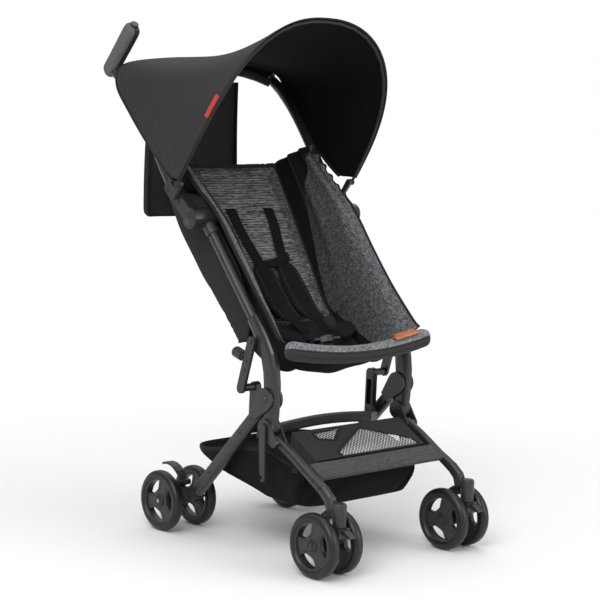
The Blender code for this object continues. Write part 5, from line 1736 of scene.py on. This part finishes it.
def shoulder_strap(tag, side):
    """Webbing from the slot, and the wide pad that it runs through, down to the buckle."""
    f = finishes()
    line = smooth_line(strap_route(side), 61)
    ways = ways_along(line)
    entry = line[0] - ways[0][1] * 0.0115
    strap_line = [entry, entry.lerp(line[0], 0.6), *line[1:]]
    strap_face = [ways[0][1]] * 2 + [out for _, out in ways[1:]]
    section = superellipse(0.0125, 0.0009, 12, 5.0)
    strap = ribbon(f"shoulder_webbing_{tag}", strap_line, strap_face, section, f.webbing)
    settle(strap, "frame", (f"shoulder_strap_{tag}",))
    first, stop = 25, 54
    pad_line, pad_ways = line[first:stop], ways[first:stop]
    pad = soft_strip(f"shoulder_pad_{tag}", pad_line, pad_ways, 0.0285, 0.0046, f.strap_pad, PAD_WIDTHS)
    tree = surface_of(pad)
    settle(pad, "frame", (f"shoulder_strap_{tag}",))
    edges = []
    for way in (-1, 1):
        row = [p + w[0] * way * 0.0205 + w[1] * 0.0060 for p, w in zip(pad_line[3:-3], pad_ways[3:-3])]
        edges.append(laid_on(tree, row, 0.0002)[0])
    sewn = stitches(f"shoulder_stitches_{tag}", edges, f.thread, 0.0042, 0.0028, 0.00034)
    trim(sewn)
    t = STRAP_KEYS[0][1] / STRAP_ROWS
    slot_line = [panel_point(t, side * STRAP_KEYS[0][0] + x, 0.0062) for x in np.linspace(-0.017, 0.017, 9)]
    section = superellipse(0.0050, 0.0022, 12, 3.0)
    slot = ribbon(f"harness_slot_{tag}", slot_line, [panel_front(t)] * 9, section, f.binding)
    trim(slot)


def harness_yoke():
    """The short band that joins the two shoulder pads at their top."""
    f = finishes()
    t = YOKE_ROW / STRAP_ROWS
    line = [panel_point(t - 0.014 * (x / 0.05) - 0.010 * (x / 0.05) ** 2, x, 0.0190)
            for x in np.linspace(-0.050, 0.050, 25)]
    out = panel_front(t)
    down = Vector((1, 0, 0)).cross(out).normalized()
    yoke = soft_strip("harness_yoke", line, [(down, out)] * 25, 0.0095, 0.0042, f.strap_pad)
    trim(yoke)


def waist_strap(tag, side):
    """The lap strap from the seat's side to the buckle, with its pad."""
    f = finishes()
    route = [Vector((side * 0.118, -0.012, 0.4200)), Vector((side * 0.096, -0.032, 0.4110)),
             Vector((side * 0.066, -0.052, 0.4060)), Vector((side * 0.030, -0.062, 0.4050))]
    line = smooth_line(route, 33)
    out = Vector((side * -0.25, -0.55, 1)).normalized()
    ways = []
    for i in range(33):
        ahead = (line[min(i + 1, 32)] - line[max(i - 1, 0)]).normalized()
        ways.append((ahead.cross(out).normalized(), out))
    strap = ribbon(f"waist_webbing_{tag}", line, [out] * 33, superellipse(0.0125, 0.0010, 12, 5.0), f.webbing)
    trim(strap)
    pad = soft_strip(f"waist_pad_{tag}", line[2:27], ways[2:27], 0.0205, 0.0042, f.strap_pad,
                     (0.80, 1.0, 1.0, 0.95, 0.80))
    trim(pad)


def crotch_pad(steps):
    """The padded sleeve round the crotch strap."""
    f = finishes()
    line = smooth_line(((0, -0.1120, 0.3560), (0, -0.1080, 0.3700), (0, -0.0980, 0.3800),
                        (0, -0.0880, 0.3860)), 15)
    facing = []
    for i in range(15):
        ahead = (line[min(i + 1, 14)] - line[max(i - 1, 0)]).normalized()
        facing.append(Vector((0, -ahead.z, ahead.y)))
    pad = ribbon("crotch_pad", line, facing, superellipse(0.0150, 0.0050, 24, 2.6), f.strap_pad)
    puff(pad, 0.0035, 3.0, 0.0025, steps)
    trim(pad)


def buckle_shell():
    """The buckle's bowed cover and side tongues, round its release button."""
    f = finishes()
    top = BUCKLE_PLACE + BUCKLE_UP * 0.0072
    ring = lathe("ring", [(0.0120, -0.0012), (0.0120, 0.0006), (0.0112, 0.0014), (0.0094, 0.0014),
                          (0.0088, 0.0004), (0.0088, -0.0012)], at(top, 0), (0, BUCKLE_UP.x, BUCKLE_UP.y), 40,
                 f.gloss)
    parts = [ring]
    ahead = Vector((-BUCKLE_UP.y, BUCKLE_UP.x))
    for side in (-1, 1):
        line = [at(BUCKLE_PLACE + BUCKLE_UP * 0.001 + ahead * -0.002, side * x)
                for x in np.linspace(0.015, 0.034, 8)]
        parts.append(ribbon("tongue", line, [(0, BUCKLE_UP.x, BUCKLE_UP.y)] * 8,
                            superellipse(0.0125, 0.0034, 16, 4.0), f.plastic))
    settle(join("buckle_details", parts), "frame")


class STROLLER_OT_harness(Operator):
    """Build the harness: webbing, shoulder, waist and crotch pads, slots and buckle"""

    bl_idname = "stroller.harness"
    bl_label = "Harness"

    def execute(self, context):
        steps = context.scene.stroller_sizes.pad_steps
        for tag, side in SIDES.items():
            shoulder_strap(tag, side)
            waist_strap(tag, side)
        harness_yoke()
        crotch_pad(steps)
        buckle_shell()
        return {"FINISHED"}


# Basket

def basket_loop(level, inset, count):
    """One loop round the basket: level 0 is the rim and 1 the floor."""
    loop = []
    front = mix(-0.216, -0.190, level**2)
    rear = mix(0.156, -0.050, level**1.75)
    half = 0.152 * (1 - 0.10 * level**2)
    for i in range(count):
        angle = 2 * math.pi * (i + 0.5) / count
        c, s = math.cos(angle), math.sin(angle)
        squared = 2 / 6.0
        u = math.copysign(abs(c) ** squared, c)
        v = math.copysign(abs(s) ** squared, s)
        y = (front + rear) / 2 + v * ((rear - front) / 2 - inset)
        rim = 0.166 + 0.036 * math.exp(-(((y + 0.06) / 0.10) ** 2))
        z = mix(rim, BASKET_FLOOR_Z, level)
        wave = math.sin(math.pi * level) * (0.0055 * math.sin(angle * 9 + level * 4)
                                            + 0.0040 * math.sin(angle * 17 + level * 9))
        x = u * (half - inset)
        sag = 0.004 * math.sin(math.pi * min(1, level * 1.1)) * (1 - 0.5 * abs(v))
        loop.append(Vector((x + math.copysign(sag, x) * abs(u) + wave * u * 0.6, y + wave * v * 0.6, z)))
    return loop


class STROLLER_OT_basket(Operator):
    """Build the hung cloth basket with its rim tape, straps and net panel"""

    bl_idname = "stroller.basket"
    bl_label = "Basket"

    def execute(self, context):
        f = finishes()
        sizes = context.scene.stroller_sizes
        count = 144
        levels = [0, 0.06, 0.14, 0.24, 0.34, 0.44, 0.54, 0.64, 0.74, 0.83, 0.90, 0.95, 0.98]
        loops = [basket_loop(level, 0, count) for level in levels]
        middle = Vector((0, -0.117, BASKET_FLOOR_Z))
        for shrink in (0.80, 0.55, 0.28, 0.06, 0.0):
            loops.append([Vector((mix(middle.x, p.x, shrink), mix(middle.y, p.y, shrink),
                                  BASKET_FLOOR_Z + 0.0012 * math.sin(k * 0.7) * shrink))
                          for k, p in enumerate(loops[12])])
        grid = [loop + [loop[0]] for loop in loops]
        cloth = cloth_grid("basket_cloth", grid, BASKET_WALL, f.plain, welded=True)
        settle(cloth, "frame", ("basket",))
        rim = ribbon("basket_rim", loops[0], [(0, 0, 1)] * count, superellipse(0.0022, 0.0050, 12, 2.6),
                     f.binding, closed=True)
        trim(rim)
        tapes = []
        for side in SIDES.values():
            for y in (-0.185, -0.070):
                line = [Vector((side * 0.1535, y + 0.0003 * k, mix(0.152, 0.178, k / 8))) for k in range(9)]
                tapes.append(ribbon("tape", line, [(side, 0, 0)] * 9, superellipse(0.0085, 0.0009, 12, 5.0),
                                    f.webbing))
        hung = trim(join("basket_tapes", tapes))
        points, edges = net_pattern(sizes.net_pitch)
        net = grow("basket_net_threads", points, edges, thread_tree(),
                   {"Thread Radius": 0.00062, "Finish": f.net})
        settle(net, "frame", ("basket_net",))
        cover, frame_tape = net_cover()
        for piece in (cloth, rim, hung, net, cover, frame_tape):
            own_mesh(piece)
        return {"FINISHED"}


NET_REAR, NET_FRONT = Vector((-0.1620, 0.2290)), Vector((-0.2130, 0.1990))
NET_HALF = 0.140
NET_WINDOWS = (((0.021, -0.15), (0.129, 0.68), (0.134, 1.04), (-0.076, 1.04), (-0.077, 0.76)),
               ((-0.099, -0.19), (-0.022, -0.25), (-0.058, 0.23), (-0.097, 0.11)))
NET_SPAN = (-0.26, 1.0)
COVER_SPAN = (-0.34, 1.06)


def net_spot(u, v, lift=0.0):
    """A point of the net panel, u across from -1 to 1 and v down from 0 to 1."""
    p = NET_REAR + (NET_FRONT - NET_REAR) * v
    droop = 0.0030 * (1 - min(1.0, u * u)) * math.sin(math.pi * min(1.0, max(0.0, v)))
    return Vector((u * NET_HALF, p.x, p.y - droop + lift))


def inside_loop(x, y, loop):
    """Whether a point lies inside a closed outline."""
    found = False
    for (ax, ay), (bx, by) in zip(loop, loop[1:] + loop[:1]):
        if (ay > y) != (by > y) and x < (bx - ax) * (y - ay) / (by - ay) + ax:
            found = not found
    return found


def net_cover():
    """The black cloth round the net's two windows, and the binding on their edges."""
    f = finishes()
    columns, rows = 128, 30
    reach, turned_at = 1.30, 1.03

    def cover_spot(u, v):
        p = net_spot(u, v, 0.0018)
        over = max(0.0, abs(u) - turned_at)
        p.x = math.copysign(min(abs(p.x), turned_at * NET_HALF + 0.18 * over * NET_HALF), u)
        p.z = mix(p.z, 0.1680, min(1.0, over / (reach - turned_at)))
        return p

    points = [cover_spot(mix(-reach, reach, j / columns), mix(*COVER_SPAN, i / rows))
              for i in range(rows + 1) for j in range(columns + 1)]
    faces = []
    for i in range(rows):
        for j in range(columns):
            x, v = mix(-reach, reach, (j + 0.5) / columns) * NET_HALF, mix(*COVER_SPAN, (i + 0.5) / rows)
            if not any(inside_loop(x, v, loop) for loop in NET_WINDOWS):
                a = i * (columns + 1) + j
                faces.append((a, a + 1, a + columns + 2, a + columns + 1))
    cover = mesh_object("basket_net_cover", points, faces, f.outer_solid)
    rework(cover.data, lambda work: bmesh.ops.delete(work, geom=[v for v in work.verts if not v.link_faces],
        context="VERTS"))
    thicken(cover, COVER_WALL)
    apply_all(cover)
    trim(cover)
    bindings = []
    for loop in NET_WINDOWS:
        spots = [net_spot(x / NET_HALF, v, 0.0018) for x, v in loop]
        path = []
        for a, b in zip(spots, spots[1:] + spots[:1]):
            path += [a.lerp(b, k / 10) for k in range(10)]
        bindings.append(ribbon("binding", path, [(0, 0, 1)] * len(path),
                               superellipse(0.0042, 0.0016, 10, 2.6), f.binding, closed=True))
    tape = trim(join("basket_net_border", bindings))
    return cover, tape


def net_pattern(pitch):
    """Crossing diagonal threads, knotted where they meet."""
    columns = round(0.280 / pitch)
    lines = round((NET_SPAN[1] - NET_SPAN[0]) * (NET_FRONT - NET_REAR).length / pitch)
    points, edges, index = [], [], {}

    def knot(i, j):
        if (i, j) not in index:
            index[(i, j)] = len(points)
            points.append(net_spot(mix(-1, 1, i / columns), mix(*NET_SPAN, j / lines)))
        return index[(i, j)]

    for i in range(columns):
        for j in range(lines):
            if (i + j) % 2 == 0:
                edges.append((knot(i, j), knot(i + 1, j + 1)))
            else:
                edges.append((knot(i + 1, j), knot(i, j + 1)))
    return points, edges


# Stage

def studio_floor():
    """The pale floor, which fades to the white background away from the stroller."""
    pale = (0.80, 0.80, 0.80)
    finish, tree, shader = new_finish("studio_floor", pale, Base_Color=(*pale, 1), Roughness=0.9)
    far = stretched(tree, object_place(tree), (0.95, 0.95, 0.0))
    length = place_node(tree, "ShaderNodeVectorMath", {0: far}, operation="LENGTH").outputs["Value"]
    fade = spanned(tree, length, (0.55, 1.35), interpolation_type="SMOOTHSTEP")
    white = place_node(tree, "ShaderNodeEmission", {"Color": (1, 1, 1, 1), "Strength": 1.0})
    rays = tree.nodes.new("ShaderNodeLightPath").outputs
    seen = computed(tree, "MAXIMUM", rays["Is Camera Ray"], rays["Is Glossy Ray"])
    share = computed(tree, "MULTIPLY", fade, seen)
    blend = place_node(tree, "ShaderNodeMixShader", {"Fac": share, 1: shader.outputs["BSDF"],
        2: white.outputs["Emission"]})
    tree.links.new(blend.outputs["Shader"], tree.nodes["Material Output"].inputs["Surface"])
    return finish


def studio_world():
    """Soft light from all round, and plain white where the camera looks past the stroller."""
    world = bpy.data.worlds.new("studio")
    world.use_nodes = True
    tree = world.node_tree
    tree.nodes.clear()
    soft, white = (place_node(tree, "ShaderNodeBackground",
                              {"Color": (1, 1, 1, 1), "Strength": strength}).outputs[0]
                   for strength in (0.46, 1.0))
    rays = tree.nodes.new("ShaderNodeLightPath").outputs
    blend = place_node(tree, "ShaderNodeMixShader", {"Fac": rays["Is Camera Ray"], 1: soft, 2: white})
    place_node(tree, "ShaderNodeOutputWorld", {"Surface": blend.outputs[0]})
    bpy.context.scene.world = world


def lamp(name, place, target, size, power):
    light = bpy.data.lights.new(name, "AREA")
    light.shape = "SQUARE"
    light.size = size
    light.energy = power
    made = link_object(name, light)
    made.location = place
    made.rotation_mode = "QUATERNION"
    made.rotation_quaternion = (Vector(target) - Vector(place)).to_track_quat("-Z", "Y")


def photo_camera():
    """The camera at the photograph's place, with its turn, rise and roll."""
    turn, rise = VIEW_TURN, VIEW_RISE
    back = Vector((math.sin(turn) * math.cos(rise), -math.cos(turn) * math.cos(rise), math.sin(rise)))
    level = Vector((math.cos(turn), math.sin(turn), 0))
    upright = back.cross(level)
    right = level * math.cos(VIEW_ROLL) + upright * math.sin(VIEW_ROLL)
    up = upright * math.cos(VIEW_ROLL) - level * math.sin(VIEW_ROLL)
    place = Vector((0, -CENTRE_Y, VIEW_TARGET_Z)) + back * VIEW_DISTANCE
    lens = bpy.data.cameras.new("photo_camera")
    lens.sensor_width = SENSOR
    lens.lens = VIEW_FOCAL / VIEW_PIXELS * SENSOR
    lens.clip_end = 50
    made = link_object("photo_camera", lens)
    made.matrix_world = Matrix(((right.x, up.x, back.x, place.x), (right.y, up.y, back.y, place.y),
                                (right.z, up.z, back.z, place.z), (0, 0, 0, 1)))
    bpy.context.scene.camera = made


class STROLLER_OT_stage(Operator):
    """Set the plain floor, soft lamps, world and the photograph's camera"""

    bl_idname = "stroller.stage"
    bl_label = "Stage"

    def execute(self, context):
        bpy.context.scene.view_settings.view_transform = "Standard"
        points = [(-6, -6, 0), (6, -6, 0), (6, 6, 0), (-6, 6, 0)]
        floor = mesh_object("studio_floor", points, [(0, 1, 2, 3)], studio_floor(), smooth=False)
        studio_world()
        lamp("key_lamp", (-2.6, -1.6, 2.6), (0, 0, 0.5), 2.2, 92)
        lamp("front_lamp", (1.4, -3.2, 1.6), (0, 0, 0.5), 2.2, 46)
        lamp("top_lamp", (0.3, 0.6, 3.0), (0, 0, 0.4), 4.2, 66)
        photo_camera()
        return {"FINISHED"}


class STROLLER_PT_panel(Panel):
    """Lists the stroller's settings and build steps"""

    bl_label = "Folding Stroller"
    bl_idname = "STROLLER_PT_panel"
    bl_space_type = "VIEW_3D"
    bl_region_type = "UI"
    bl_category = "Stroller"

    def draw(self, context):
        layout = self.layout
        for group in (context.scene.stroller_colours, context.scene.stroller_sizes):
            for name in group.__annotations__:
                layout.prop(group, name)
        for step in STEPS:
            layout.operator(step.bl_idname)


STEPS = (STROLLER_OT_stage, STROLLER_OT_frame, STROLLER_OT_wheels, STROLLER_OT_canopy, STROLLER_OT_flap,
         STROLLER_OT_seat, STROLLER_OT_harness, STROLLER_OT_basket)
CLASSES = (StrollerColours, StrollerSizes, *STEPS, STROLLER_PT_panel)


def register():
    for made in CLASSES:
        bpy.utils.register_class(made)
    bpy.types.Scene.stroller_colours = PointerProperty(type=StrollerColours)
    bpy.types.Scene.stroller_sizes = PointerProperty(type=StrollerSizes)


def unregister():
    del bpy.types.Scene.stroller_sizes
    del bpy.types.Scene.stroller_colours
    for made in reversed(CLASSES):
        bpy.utils.unregister_class(made)


def main():
    register()
    bpy.ops.stroller.stage()
    bpy.ops.stroller.frame()
    bpy.ops.stroller.wheels()
    bpy.ops.stroller.canopy()
    bpy.ops.stroller.flap()
    bpy.ops.stroller.seat()
    bpy.ops.stroller.harness()
    bpy.ops.stroller.basket()


if __name__ == "__main__":
    main()
